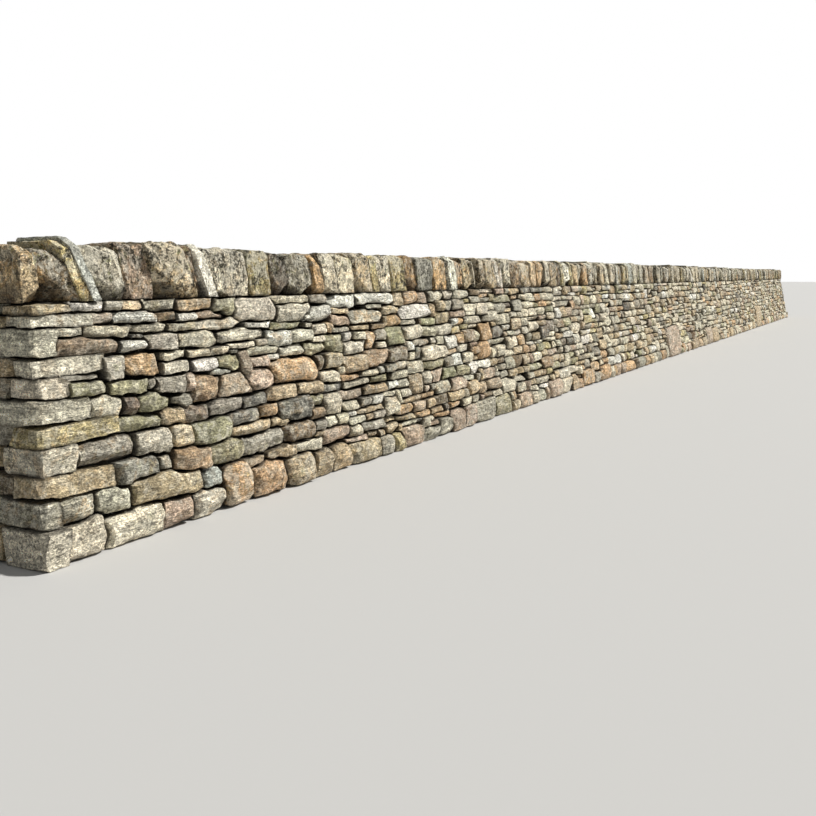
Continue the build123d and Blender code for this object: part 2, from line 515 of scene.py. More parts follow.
def meeting_points(st, k, q, seed):
    """Goes out from the middle of each stone k, through points q, to where another stone is nearer."""
    near = [neighbours(st, i) for i in k]
    most = max(len(a) for a in near)
    # padded with -1, where a stone has fewer neighbours than another
    near = np.array([np.concatenate([a, np.full(most - len(a), -1)]) for a in near]).astype(int)
    x, y = rounded(st, k, q)
    c, n = np.cos(st.tilt[k])[:, None], np.sin(st.tilt[k])[:, None]
    ray = np.stack([x * c - y * n, x * n + y * c], -1)
    s = st.s[k][:, None, None] + ray[..., :1] * RAY_PLACES
    z = st.z[k][:, None, None] + ray[..., 1:] * RAY_PLACES
    s, z = bend(s, z, seed)
    own = box_distance(st, k[:, None, None], s, z)
    rival = np.full(own.shape, OUT_OF_REACH)
    for other in near.T:
        d = box_distance(st, np.maximum(other, 0)[:, None, None], s, z)
        rival = np.minimum(rival, np.where((other >= 0)[:, None, None], d, OUT_OF_REACH))
    over = np.maximum(own - rival, own - GROWTH)
    past = over > 0
    first = np.where(past.any(-1), past.argmax(-1), len(RAY_PLACES) - 1)
    before = np.maximum(first - 1, 0)
    d1 = np.take_along_axis(over, first[..., None], -1)[..., 0]
    d0 = np.take_along_axis(over, before[..., None], -1)[..., 0]
    between = np.clip(-d0 / np.maximum(d1 - d0, 1e-6), 0, 1)
    t = RAY_PLACES[before] + (RAY_PLACES[first] - RAY_PLACES[before]) * between
    t = np.where(past.any(-1), t, 1.2)
    t = 0.04 * np.roll(t, 1, 1) + 0.92 * t + 0.04 * np.roll(t, -1, 1)
    return ray * t[..., None]


def outlines(st, chosen, nu, nv, seed):
    """For each chosen stone, the points (relative to its middle) where it meets its neighbours."""
    q = perimeter(nu, nv)
    result = np.zeros((len(chosen), len(q), 2))
    order = np.argsort(st.s[chosen])
    for start in range(0, len(order), BATCH):
        rows = order[start : start + BATCH]
        result[rows] = meeting_points(st, chosen[rows], q, seed)
    z = st.z[chosen][:, None] + result[..., 1]
    result[..., 1] = np.clip(z, 0.0, COPE_Z) - st.z[chosen][:, None]
    return result


# The solid of a laid stone

# how far stones reach into the wall, broken planes across each face and chips off its edges
STONE_DEPTH = 0.15
FACE_PLANES = 5
EDGE_CHIPS = 4
# half the width of a joint, least and most, and how unevenly it opens
JOINT = (0.0028, 0.0082)
JOINT_WANDER = 0.9
# the stones of the near end are rougher: up to where, how gradually that ends, how much wider their
# joints are and how much deeper their beds are cut
NEAR_END, NEAR_FADE = 4.0, 1.5
NEAR_JOINT, NEAR_UNDERCUT = 0.40, 0.5
# how much painted shade darkens a joint at its rim and in its mouth, where 1 is its depth
RIM_PAINTED_SHADE, MOUTH_PAINTED_SHADE = 0.16, 0.78
FACE_ROUGHNESS = ((0.006, 12, 5), (0.0065, 27, 6), (0.0035, 58, 10))
# a slow swell of the whole face
SWELL = 0.010


def pillow(nu, nv, rings):
    """Template of a stone seen from its face: a grid, rings round its sides and a closed back."""
    index = np.arange((nu + 1) * (nv + 1)).reshape(nu + 1, nv + 1)
    quads = np.stack([index[:-1, :-1], index[1:, :-1], index[1:, 1:], index[:-1, 1:]], -1).reshape(-1, 4)
    edge = np.concatenate([index[:-1, 0], index[-1, :-1], index[:0:-1, -1], index[0, :0:-1]])
    count = index.size
    ring = edge
    sides = []
    for _ in range(rings):
        below = count + np.arange(len(edge))
        count += len(edge)
        sides.append(np.stack([np.roll(ring, -1), ring, below, np.roll(below, -1)], -1))
        ring = below
    tris = np.stack([np.roll(ring, -1), ring, np.full(len(edge), count)], -1)
    return np.concatenate([quads, *sides]), tris, edge


def spread_inside(rim, nu, nv):
    """Carries a stone's rim (S, ring, 2) to the whole grid of its face, side blended with side."""
    low, right = rim[:, : nu + 1], rim[:, nu : nu + nv + 1]
    high = rim[:, nu + nv : 2 * nu + nv + 1][:, ::-1]
    left = np.concatenate([rim[:, 2 * nu + nv :], rim[:, :1]], 1)[:, ::-1]
    s, t = (spaced(nu)[None, :, None, None] + 1) / 2, (spaced(nv)[None, None, :, None] + 1) / 2
    across = (1 - t) * low[:, :, None] + t * high[:, :, None]
    upward = (1 - s) * left[:, None] + s * right[:, None]
    corners = (1 - s) * ((1 - t) * low[:, :1, None] + t * high[:, :1, None])
    corners = corners + s * ((1 - t) * low[:, -1:, None] + t * high[:, -1:, None])
    return (across + upward - corners).reshape(len(rim), -1, 2)


def outward_of(line):
    """The way out of each outline, at each of its points."""
    along = np.roll(line, -1, 1) - np.roll(line, 1, 1)
    outward = np.stack([along[..., 1], -along[..., 0]], -1)
    return outward / np.maximum(np.hypot(outward[..., 0], outward[..., 1]), 1e-6)[..., None]


def face_relief(st, chosen, face, nu, nv, near, seed, rng):
    """How far each point of the faces stands out of the wall."""
    u, v = np.repeat(spaced(nu), nv + 1)[None], np.tile(spaced(nv), nu + 1)[None]
    w, h, about, crown = (a[chosen][:, None] for a in (st.w, st.h, st.round, st.bulge))
    small = np.minimum(w, h)

    def draw(least, most):
        return rng.uniform(least, most, (len(chosen), 1))

    # nearly flat, or a dome where the stone is round, and turned a little from its neighbours
    power = 2.2 + 5 * (1 - about)
    out = crown * (1 - np.abs(u) ** power) * (1 - np.abs(v) ** power)
    out = out + rng.normal(0, 0.008, (len(chosen), 1)) * np.minimum(1, w / 0.08) * u
    # broken planes across the face
    for _ in range(FACE_PLANES):
        turn = draw(0, 2 * math.pi)
        lie = face[..., 0] * np.cos(turn) + face[..., 1] * np.sin(turn)
        most = lie.max(1, keepdims=True)
        start = most * draw(-0.35, 0.75)
        fall = np.minimum(draw(0.003, 0.034), 0.6 * (most - start))
        out = np.minimum(out, crown - fall * (lie - start) / (most - start))
    # worn edges
    to_edge = np.minimum((1 - np.abs(u)) * w, (1 - np.abs(v)) * h)
    worn = np.clip(small * draw(0.04, 0.18), 0.002, 0.010) * (0.3 + 1.2 * about)
    out = out - worn * np.clip(1 - to_edge / (1.2 * worn), 0, 1) ** 1.3
    # most stones lean back at the top and are undercut below
    lean_back, under = draw(0, 0.013), draw(0, 0.022) * (1 + NEAR_UNDERCUT * near)
    scale = np.minimum(1, small / 0.045)
    out = out - scale * (lean_back * np.clip(v, 0, 1) ** 1.5 + under * np.clip(-v, 0, 1) ** 1.5)
    # a bedding ledge across the face
    level = draw(-0.55, 0.55)
    wander = np.stack(np.broadcast_arrays(face[..., 0] * 9 + st.s[chosen][:, None], v, level), -1)
    ledge = draw(-0.013, 0.013) * (rng.random((len(chosen), 1)) < 0.6)
    return out + ledge / (1 + np.exp(-(v - level - 0.35 * noise(wander, seed + 9)) * 14))


def chip(verts, size, rng):
    """Knocks a corner or an edge off each stone."""
    count = len(verts)
    turn = rng.uniform(0, 2 * math.pi, count)
    lean = np.radians(rng.uniform(24, 66, count))
    normal = np.stack([np.sin(lean) * np.cos(turn), np.sin(lean) * np.sin(turn), np.cos(lean)], -1)
    lie = np.einsum("svk,sk->sv", verts, normal)
    cut = np.clip(size * rng.uniform(0.01, 0.13, count), 0.002, 0.024)
    over = np.maximum(lie - (lie.max(1) - cut)[:, None], 0)
    return verts - over[..., None] * normal[:, None, :]


def weather(st, chosen, verts, depth, seed, rng):
    """Roughens stones, and carries them to their places on the face."""
    place = flat(st.s[chosen], st.z[chosen])[:, None]
    shift = rng.uniform(-40, 40, (len(chosen), 3))
    p = verts + place + shift[:, None]
    amount = np.clip(np.minimum(st.w, st.h)[chosen][:, None] / 0.05, 0.5, 1.2)
    sideways = amount * (0.5 + 0.5 * depth)
    verts[..., 2] += amount * roughness(p, FACE_ROUGHNESS, seed)
    verts[..., 0] += sideways * 0.0040 * noise(p * 30, seed + 7, True)
    verts[..., 1] += sideways * 0.0036 * noise(p * 30, seed + 8, True)
    verts += place
    swell = noise(flat(verts[..., 0] * 1.1, verts[..., 1] * 1.3), seed + 11)
    verts[..., 2] += st.out[chosen][:, None] + SWELL * swell * (verts[..., 1] > BED_Z)
    verts[..., 1] = np.clip(verts[..., 1], INSIDE, COPE_Z)
    return verts, shift


def lay_face(st, chosen, nu, nv, rings, seed, rng):
    """Solids of the chosen stones in face coordinates: along the face, up it, and out of it."""
    quads, tris, edge = pillow(nu, nv, rings)
    line = outlines(st, chosen, nu, nv, seed)
    outward = outward_of(line)
    count = len(chosen)
    small = np.minimum(st.w, st.h)[chosen][:, None]
    near = np.clip((NEAR_END - st.s[chosen][:, None]) / NEAR_FADE, 0, 1)
    places = (line + np.stack([st.s[chosen], st.z[chosen]], -1)[:, None]) * 9
    uneven = 1 + JOINT_WANDER * noise(flat(places[..., 0], places[..., 1]), seed + 4)
    joint = rng.uniform(*JOINT, (count, 1)) * uneven * (1 + NEAR_JOINT * near)

    def inset(by):
        return line - outward * np.minimum(by, 0.3 * small)[..., None]

    face = spread_inside(inset(joint + np.minimum(0.004, 0.1 * small)), nu, nv)
    out = face_relief(st, chosen, face, nu, nv, near, seed, rng)
    # painted shade: the rim of each face and the sides in its joints darken through depth
    shade = np.zeros(out.shape)
    shade[:, edge] = RIM_PAINTED_SHADE
    verts, depth = [np.concatenate([face, out[..., None]], -1)], [shade]
    # the sides, from the mouth of the joint to the back of the stone
    back = rng.uniform(0.75, 1.0, (count, 1)) * STONE_DEPTH
    lip = out[:, edge]
    mouth = np.minimum(lip - 0.010, -0.004)
    middle = np.minimum(mouth - 0.01, -back * 0.5)
    steps = [(joint, mouth, MOUTH_PAINTED_SHADE), (joint + 0.002, middle, 1.0), (joint + 0.010, -back, 1.0)]
    for by, level, dark in steps[3 - rings :]:
        ring = inset(by)
        level = np.broadcast_to(np.minimum(level, lip - 0.004), ring.shape[:2])
        verts.append(np.concatenate([ring, level[..., None]], -1))
        depth.append(np.full(ring.shape[:2], dark))
    verts.append(np.concatenate([np.zeros((count, 1, 2)), (-back - 0.01)[..., None]], -1))
    depth.append(np.ones((count, 1)))
    verts, depth = np.concatenate(verts, 1), np.concatenate(depth, 1)
    for _ in range(EDGE_CHIPS):
        verts = chip(verts, np.hypot(st.w, st.h)[chosen], rng)
    verts, shift = weather(st, chosen, verts, depth, seed, rng)
    return verts, quads, tris, depth, shift


# The two faces

# The stones of the near end of the front face, as they lie: along from, to, up from, to, tone,
# and how round (0 square, 1 round), tilt in degrees and taper where they matter. The corner stones
# above the footing are those of END_COURSES.
NEAR_STONES = [
    # under the cope
    (0.31, 0.56, 1.27, 1.33, "white"), (0.56, 0.70, 1.275, 1.325, "grey"),
    (0.70, 0.87, 1.27, 1.33, "tan"), (0.87, 1.14, 1.255, 1.33, "pale"),
    (1.14, 1.465, 1.245, 1.325, "tan"), (1.475, 1.70, 1.21, 1.33, "green"),
    (1.70, 2.17, 1.16, 1.33, "pale"), (2.08, 2.60, 1.268, 1.33, "cream"),
    # 1.20 to 1.27
    (0.42, 0.61, 1.20, 1.262, "pink"), (0.63, 0.96, 1.19, 1.265, "white"),
    (0.975, 1.14, 1.20, 1.25, "brown"), (1.14, 1.32, 1.185, 1.242, "white"),
    (1.34, 1.60, 1.185, 1.24, "pink"), (2.18, 2.62, 1.13, 1.262, "pale"),
    # 1.11 to 1.20
    (0.18, 0.40, 1.14, 1.195, "grey"), (0.40, 0.735, 1.11, 1.198, "cream"),
    (0.74, 1.06, 1.135, 1.19, "cream"), (1.06, 1.31, 1.13, 1.18, "cream"),
    (1.30, 1.76, 1.12, 1.185, "pale"), (1.79, 2.08, 1.105, 1.155, "white"),
    (2.08, 2.48, 1.085, 1.14, "green"),
    # 1.02 to 1.13
    (0.20, 0.64, 1.03, 1.135, "pink"), (0.64, 0.85, 1.03, 1.10, "white", 0.6),
    (0.735, 0.84, 1.103, 1.132, "slate"), (0.85, 1.13, 1.02, 1.13, "grey"),
    (1.14, 1.49, 1.015, 1.12, "cream"), (1.49, 1.985, 1.03, 1.115, "pale"),
    (2.00, 2.29, 0.97, 1.085, "white"), (2.29, 2.58, 0.99, 1.082, "pale"),
    # 0.94 to 1.04
    (0.49, 0.67, 0.885, 1.02, "grey", 0.2), (0.65, 0.945, 0.875, 1.03, "orange", 0.6),
    (0.945, 1.19, 0.958, 1.015, "cream"), (1.19, 1.40, 0.96, 1.01, "cream"),
    (1.41, 1.59, 0.958, 1.01, "cream"), (1.60, 1.90, 0.985, 1.025, "cream"),
    (1.61, 1.69, 0.955, 0.985, "slate"), (1.79, 2.14, 0.92, 0.983, "pale"),
    (2.16, 2.465, 0.885, 0.965, "pale"),
    # 0.83 to 0.96
    (0.18, 0.49, 0.905, 0.943, "grey"), (0.245, 0.50, 0.815, 0.90, "green"),
    (0.52, 0.82, 0.79, 0.885, "green", 0.5), (0.81, 0.885, 0.81, 0.865, "grey"),
    (0.945, 1.20, 0.875, 0.957, "pale"), (1.21, 1.465, 0.865, 0.95, "white", 0.7),
    (1.465, 1.69, 0.845, 0.955, "green"), (1.69, 1.80, 0.80, 0.97, "pink", 0.5, 8),
    (1.81, 2.00, 0.83, 0.92, "pink", 0.5),
    # 0.68 to 0.88
    (0.375, 0.60, 0.67, 0.81, "pale", 0.15), (0.605, 0.735, 0.685, 0.80, "purple", 0.1),
    (0.735, 0.985, 0.675, 0.785, "green", 0.4), (0.885, 1.14, 0.76, 0.878, "grey"),
    (0.99, 1.18, 0.675, 0.755, "grey"), (1.13, 1.225, 0.75, 0.86, "pink", 0.7),
    (1.18, 1.475, 0.675, 0.85, "rust", 0.5, 0, 0.12), (1.40, 1.60, 0.825, 0.885, "white", 0.4),
    (1.465, 1.77, 0.68, 0.84, "pink", 0.5, 0, -0.3), (1.735, 2.04, 0.69, 0.86, "pink", 0.5, 0, -0.45),
    (2.00, 2.60, 0.705, 0.885, "orange", 0.85, -3),
    # 0.58 to 0.70
    (0.56, 0.89, 0.59, 0.685, "green"), (0.885, 1.09, 0.59, 0.69, "tan", 0.5),
    (1.09, 1.32, 0.575, 0.675, "purple"), (1.32, 1.667, 0.585, 0.685, "grey"),
    (1.67, 1.95, 0.59, 0.685, "slate", 0.3), (1.94, 2.32, 0.59, 0.69, "tan"),
    (2.31, 2.60, 0.60, 0.69, "tan"),
    # 0.42 to 0.61
    (0.25, 0.66, 0.45, 0.58, "grey", 0.3), (0.68, 0.956, 0.42, 0.585, "pale", 0.25),
    (0.956, 1.16, 0.44, 0.58, "tan", 0.8), (1.16, 1.52, 0.41, 0.58, "green", 0.4),
    (1.52, 1.83, 0.50, 0.585, "slate", 0.5), (1.82, 2.05, 0.50, 0.595, "orange", 0.7),
    (2.05, 2.44, 0.44, 0.605, "slate", 0.6), (1.54, 1.95, 0.41, 0.49, "tan", 0.6, 3),
    (1.96, 2.20, 0.425, 0.49, "tan", 0.6), (2.45, 2.62, 0.50, 0.59, "green"),
    # 0.27 to 0.46
    (0.50, 0.85, 0.31, 0.445, "slate", 0.7, 4), (0.84, 0.956, 0.33, 0.42, "grey"),
    (0.946, 1.30, 0.27, 0.43, "rust", 0.55, -4), (1.30, 1.65, 0.28, 0.42, "green", 0.5),
    (1.63, 2.06, 0.275, 0.415, "grey", 0.5, 4), (2.06, 2.45, 0.285, 0.44, "brown", 0.95),
    (2.46, 2.62, 0.33, 0.41, "grey", 0.7),
    # 0.16 to 0.33
    (0.11, 0.35, 0.185, 0.325, "pale", 0.6), (0.35, 0.62, 0.18, 0.32, "pale", 0.4, -6),
    (0.61, 1.215, 0.17, 0.33, "tan", 0.75, -3), (1.21, 1.39, 0.165, 0.28, "blue", 0.4),
    (1.61, 1.84, 0.215, 0.285, "pink", 0.6), (1.86, 2.18, 0.215, 0.305, "tan", 0.7),
    (2.19, 2.55, 0.205, 0.29, "pale", 0.5, -3),
    # footing
    (0.00, 0.12, 0.0, 0.185, "pale"), (0.12, 0.39, 0.0, 0.185, "cream"),
    (0.39, 0.83, 0.0, 0.17, "cream"), (0.83, 1.09, 0.0, 0.165, "pink", 0.6),
    (1.09, 1.40, 0.0, 0.16, "pale", 0.5), (1.39, 1.667, 0.0, 0.27, "orange", 0.95),
    (1.67, 2.06, 0.0, 0.22, "orange", 0.9), (2.06, 2.39, 0.0, 0.215, "tan", 0.9),
    (2.39, 2.63, 0.0, 0.19, "tan", 0.8), (2.64, 2.89, 0.0, 0.19, "tan", 0.9),
    (2.90, 3.34, 0.0, 0.17, "tan", 0.7), (3.35, 3.56, 0.0, 0.165, "grey", 0.8),
    (3.57, 3.73, 0.0, 0.155, "yellow", 0.9), (3.73, 4.10, 0.0, 0.185, "pink", 0.8),
    (4.12, 4.40, 0.0, 0.12, "grey", 0.6), (4.41, 4.68, 0.0, 0.175, "grey", 0.5),
    (4.69, 4.98, 0.0, 0.20, "pink", 0.5), (4.99, 5.24, 0.0, 0.21, "pink", 0.7),
    (5.25, 5.75, 0.0, 0.22, "grey", 0.3), (5.76, 6.20, 0.0, 0.21, "green", 0.3),
    (13.65, 14.65, 0.0, 0.54, "pink", 0.95, 3), (17.2, 17.85, 0.0, 0.36, "pink", 0.98, -4),
    (17.9, 18.6, 0.0, 0.32, "tan", 0.95, 3), (24.6, 25.5, 0.0, 0.60, "tan", 0.9, -3),
    # a few larger stones farther on
    (2.68, 2.92, 0.76, 0.88, "tan"), (2.95, 3.31, 0.70, 0.83, "tan", 0.8),
    (3.30, 3.65, 0.72, 0.86, "rust", 0.4), (3.66, 4.02, 0.735, 0.865, "brown", 0.6),
    (4.28, 4.78, 0.69, 0.82, "cream", 0.5), (5.33, 5.52, 0.68, 0.76, "orange", 0.7),
    (5.51, 5.80, 0.62, 0.78, "orange", 0.9), (5.95, 6.20, 0.61, 0.73, "cream", 0.5),
    (5.15, 5.40, 0.30, 0.43, "tan", 0.8), (5.57, 5.88, 0.40, 0.50, "pink", 0.3),
    (5.20, 5.48, 0.80, 0.93, "brown", 0.9), (2.45, 2.84, 1.125, 1.25, "white", 0.7),
    (2.85, 3.15, 1.07, 1.17, "pink", 0.4), (3.12, 3.66, 1.07, 1.19, "pale", 0.5),
    (2.84, 3.27, 1.215, 1.31, "white", 0.4), (3.28, 3.88, 1.23, 1.33, "white", 0.3),
    (3.89, 4.05, 1.205, 1.32, "tan"), (4.06, 4.32, 1.215, 1.33, "orange", 0.6),
    (4.33, 4.56, 1.215, 1.32, "pink"), (3.98, 4.58, 1.08, 1.20, "white", 0.4),
    (3.50, 3.72, 0.31, 0.46, "cream", 0.8),
]
# how fine the stones are, by how far along the wall they lie: up to, size of a grid cell
FRONT_CELLS = ((2.7, 0.0105), (5.3, 0.0145), (10.6, 0.021), (15.9, 0.030), (math.inf, 0.038))
BACK_CELLS = ((math.inf, 0.055),)
# from this size of cell on, the sides of a stone are plainer
PLAIN_CELL = 0.03


def cell_at(cells, s):
    return next(size for limit, size in cells if s < limit)


def as_row(rect, tilt, taper, about, out, least, more):
    """A stone's values in the order of Stones.KEYS. Its face bulges by least, and by more if round."""
    s0, s1, z0, z1 = rect
    bulge = (least + more * about) * min(1, (z1 - z0) / 0.12)
    middle, half = ((s0 + s1) / 2, (z0 + z1) / 2), ((s1 - s0) / 2, (z1 - z0) / 2)
    return (*middle, *half, tilt, taper, 0.12 + 0.8 * about, out, bulge)


def placed_stone(rng, s0, s1, z0, z1, tone, about=0.3, tilt=0.0, taper=0.0):
    """Row and tone of a stone that is listed."""
    out = rng.uniform(-0.004, 0.006) if z0 < ON_FLOOR else rng.uniform(-0.008, 0.013)
    return as_row((s0, s1, z0, z1), math.radians(tilt), taper, about, out, 0.008, 0.030), tone


def laid_stone(rng, rect, mixed, based):
    """Row and tone of a stone that is laid by rule, rounder and more like a footing stone low down."""
    s0, s1, z0, _ = rect
    low = z0 < ON_FLOOR
    about = rng.beta(2.2, 1.6) if low else rng.beta(1.4, 2.6)
    out = rng.uniform(-0.006, 0.006) if low else rng.uniform(-0.013, 0.015)
    tilt = math.radians(rng.normal(0, 2.2)) * min(1, 0.15 / (s1 - s0))
    row = as_row(rect, tilt, rng.normal(0, 0.07), about, out, 0.007, 0.028)
    return row, based if low or rng.random() < 0.25 * max(0, 0.5 - z0) else mixed


def face_stones(rng, fixed):
    """Every stone of one face, from the footing to the cope."""
    taken = [f[:4] for f in fixed]
    laid = fit_around(lay_courses(rng), taken)
    laid += fill_holes(taken + laid)
    stones = [placed_stone(rng, *f) for f in fixed]
    mixed = pick_tones(rng, "wall", len(laid))
    based = pick_tones(rng, "base", len(laid))
    stones += [laid_stone(rng, *each) for each in zip(laid, mixed, based)]
    return Stones(*zip(*stones), rng)


def is_corner(st):
    """Corner stones are built with the ends, and only shape their neighbours here."""
    return (st.z - st.h > BED_Z - 0.01) & ((st.s - st.w < 0.005) | (st.s + st.w > RUN - 0.005))


def build_face(heaps, side, seed, fixed, cells):
    """Lays one face, and adds its stones to the heaps of each bay's wall and footing."""
    rng = np.random.default_rng(seed)
    st = face_stones(rng, fixed)
    tone, trait = looks(rng, st.tone, 0.42)
    bay_of = np.clip((st.s // BAY).astype(int), 0, BAYS - 1)
    base = st.z - st.h < ON_FLOOR
    cell = np.array([cell_at(cells, s) for s in st.s])
    grid = [(grid_steps(2 * w / c), grid_steps(2 * h / c)) for w, h, c in zip(st.w, st.h, cell)]
    kinds = sorted(set(grid))
    kind_of = np.array([kinds.index(g) for g in grid])
    for bay, low in itertools.product(range(BAYS), (False, True)):
        heap = heaps.setdefault(f"{'footing' if low else side}_stones_{bay + 1}", Heap())
        here = (bay_of == bay) & (base == low) & ~is_corner(st)
        for index in sorted(set(kind_of[here])):
            chosen = np.flatnonzero(here & (kind_of == index))
            rings = 3 if cell[chosen].min() < PLAIN_CELL else 2
            verts, quads, tris, depth, shift = lay_face(st, chosen, *kinds[index], rings, seed, rng)
            along, up, out = verts[..., 0], verts[..., 1], verts[..., 2]
            y = np.maximum(-(foot_width(up) if low else half_width(up)) - out, cad_low.y + INSIDE)
            if side == "back":
                y, quads, tris = -y, quads[:, ::-1], tris[:, ::-1]
            world = np.stack([NEAR_X + along, y, up], -1)
            heap.add(world, quads, tris, tone[chosen], shift, trait[chosen], depth)


# Solids cut by planes, for the cope and the ends

NO_QUADS = np.zeros((0, 4), int)
# points nearer than this are merged
SLIVER = 0.0012
BLOCK_ROUGHNESS = ((0.006, 8, 0), (0.007, 21, 1), (0.0035, 55, 2))


def bite(bm, normal, offset):
    """Cuts away what lies beyond a plane, and closes the cut."""
    normal = Vector(normal).normalized()
    if max(v.co.dot(normal) for v in bm.verts) < offset + 1e-4:
        return
    geometry = bm.verts[:] + bm.edges[:] + bm.faces[:]
    cut = bmesh.ops.bisect_plane(
        bm, geom=geometry, dist=1e-6, plane_co=normal * offset, plane_no=normal, clear_outer=True
    )
    rim = [e for e in cut["geom_cut"] if isinstance(e, bmesh.types.BMEdge)]
    bmesh.ops.edgeloop_fill(bm, edges=rim)


def knock_off(bm, way, depth):
    """Cuts away the outermost part of a block in one direction."""
    way = Vector(way).normalized()
    if depth > 0.001:
        bite(bm, way, max(v.co.dot(way) for v in bm.verts) - depth)


def slice_finely(bm, slices, beds):
    """Divides the faces at places along x, y and z, apart from the hidden beds, below and above."""
    whole = bm.faces.layers.int.new("whole")
    bm.normal_update()
    for f in bm.faces:
        f[whole] = (beds > 0 and f.normal.z < -0.9) or (beds > 1 and f.normal.z > 0.9)
    for axis, places in enumerate(slices):
        across = Vector([float(k == axis) for k in range(3)])
        for place in places:
            geometry = bm.verts[:] + bm.edges[:] + [f for f in bm.faces if not f[whole]]
            bmesh.ops.bisect_plane(bm, geom=geometry, dist=1e-5, plane_co=across * place, plane_no=across)


def without_slivers(bm):
    """Merges slivers away, where that leaves the block closed."""
    merged = bm.copy()
    bmesh.ops.remove_doubles(merged, verts=merged.verts[:], dist=SLIVER)
    if all(e.is_manifold for e in merged.edges):
        bm, merged = merged, bm
    merged.free()
    return bm


def chisel(half, planes, chops, slices, beds):
    """A convex block about the origin, cut to planes (normal, reach), then chopped, then sliced finely.

    beds is how many of its two beds, below and above, lie hidden and stay whole.
    Returns its points, their normals and its triangles.
    """
    bm = bmesh.new()
    bmesh.ops.create_cube(bm, size=2.0)
    for v in bm.verts:
        v.co = [c * h for c, h in zip(v.co, half)]
    for normal, reach in planes:
        bite(bm, normal, reach / np.linalg.norm(normal))
    for way, depth in chops:
        knock_off(bm, way, depth)
    slice_finely(bm, slices, beds)
    bmesh.ops.triangulate(bm, faces=bm.faces[:])
    bm = without_slivers(bm)
    bmesh.ops.recalc_face_normals(bm, faces=bm.faces[:])
    bm.normal_update()
    bm.verts.index_update()
    points = np.array([v.co[:] for v in bm.verts])
    normals = np.array([v.normal[:] for v in bm.verts])
    tris = np.array([[v.index for v in f.verts] for f in bm.faces])
    bm.free()
    return points, normals, tris


def slices_of(rng, reach, step):
    """Uneven places from -reach to reach, about a step apart."""
    count = max(2, int(round(2 * reach / step)))
    places = np.linspace(-reach, reach, count + 1)[1:-1]
    return places + rng.uniform(-0.3, 0.3, len(places)) * (2 * reach / count)


def roughen(points, normals, rng, seed, amount, bedding=0.0):
    """Breaks up the faces of a block. Returns the points and the shift that its material takes."""
    shift = rng.uniform(-40, 40, 3)
    q = points + shift
    size = roughness(q, BLOCK_ROUGHNESS, seed)
    if bedding:
        size = size + bedding * noise(q * (42, 4, 5), seed + 6, True) * (1 - np.abs(normals[:, 0]))
    side = np.stack([noise(q * 26, seed + 3 + i, True) for i in range(3)], -1) * 0.003
    return points + amount * (normals * size[:, None] + side), shift


# The cope

# The first slabs, from the near end: tone, lichen and iron stain
NEAR_COPE = (
    ("tan", 0.25, 0.7), ("brown", 0.7, 0.5), ("yellow", 0.6, 0.6), ("blue", 0.1, 0.0),
    ("pale", 1.0, 0.1), ("pink", 0.45, 0.3), ("tan", 0.9, 0.5), ("rust", 0.3, 0.5), ("white", 0.0, 0.0),
    ("pale", 0.6, 0.25), ("yellow", 0.8, 0.3), ("purple", 0.3, 0.2), ("grey", 0.6, 0.2),
    ("orange", 0.2, 0.9), ("cream", 0.5, 0.2), ("cream", 0.3, 0.5), ("tan", 0.7, 0.2),
    ("yellow", 0.5, 0.3), ("cream", 0.7, 0.3), ("yellow", 0.7, 0.4), ("rust", 0.2, 0.9),
    ("slate", 0.8, 0.0), ("orange", 0.3, 0.9), ("white", 0.3, 0.1),
)
# how deep the foot of some of them is hollowed out
NEAR_HOLLOWS = {1: 0.085, 4: 0.055, 6: 0.045, 7: 0.050, 11: 0.070, 12: 0.04, 16: 0.05, 20: 0.05}
# a wide slab that lies as two: where its joint meets the bed and the crest, from the near end
SPLIT_SLAB = 6
SPLIT_BED, SPLIT_CREST = 1.335, 1.175
COPE_CELLS = ((2.0, 0.0105), (2.7, 0.014), (5.3, 0.018), (10.6, 0.027), (math.inf, 0.040))
# slabs thinner than this, from the middle out, are broken less
THIN = 0.06
# the darker slabs stand farther in, and the thin pale ones stand out
SUNK_TONES = ("brown", "rust", "purple", "grey", "green", "pink")
PROUD_TONES = ("blue", "white")
# painted light and shade: sunk slabs get a darkened tone, the others a lightened one
SUNK_PAINTED_SHADE, CLEAR_PAINTED_LIGHT = (0.86, 0.84, 0.80), (1.20, 1.18, 1.13)


def linked_faces(first, seen):
    """The faces of one solid, from any one of them."""
    stack, group = [first], []
    seen.add(first.index)
    while stack:
        face = stack.pop()
        group.append(face)
        for other in (f for e in face.edges for f in e.link_faces):
            if other.index not in seen:
                seen.add(other.index)
                stack.append(other)
    return group


def as_solid(faces):
    """Face normals, face offsets and corners of a convex solid."""
    planes = {}
    for f in faces:
        f.normal_update()
        if f.calc_area() > 1e-6:
            key = tuple(round(c, 2) for c in f.normal)
            planes[key] = (np.array(f.normal), f.verts[0].co.dot(f.normal))
    normals, offsets = (np.array(values) for values in zip(*planes.values()))
    return normals, offsets, np.unique(np.round([v.co for f in faces for v in f.verts], 5), axis=0)


def loose_solids(obj):
    """Every separate convex solid in a CAD node, from the near end."""
    bm = bmesh.new()
    bm.from_mesh(obj.data)
    bmesh.ops.remove_doubles(bm, verts=bm.verts, dist=1e-5)
    bm.faces.ensure_lookup_table()
    seen, found = set(), []
    for face in bm.faces:
        if face.index not in seen:
            found.append(as_solid(linked_faces(face, seen)))
    bm.free()
    return sorted(found, key=lambda solid: solid[2][:, 0].mean())


def halves(normals, offsets, corners):
    """The two solids that a leaning joint cuts a slab into."""
    joint = np.array([SPLIT_CREST - SPLIT_BED, 0.0, 0.32])
    across = np.array([joint[2], 0.0, -joint[0]]) / np.hypot(joint[0], joint[2])
    foot = np.array([NEAR_X + SPLIT_BED, 0.0, COPE_Z])
    low, high = corners.min(0), corners.max(0)
    line = [foot + joint * t + (0, y, 0) for t in (0, 0.95) for y in (low[1], high[1])]
    for side in (1, -1):
        kept = corners[(corners - foot) @ across * side < 0]
        yield (
            np.concatenate([normals, [side * across]]),
            np.append(offsets, side * across @ foot - 0.003),
            np.concatenate([kept, line]),
        )


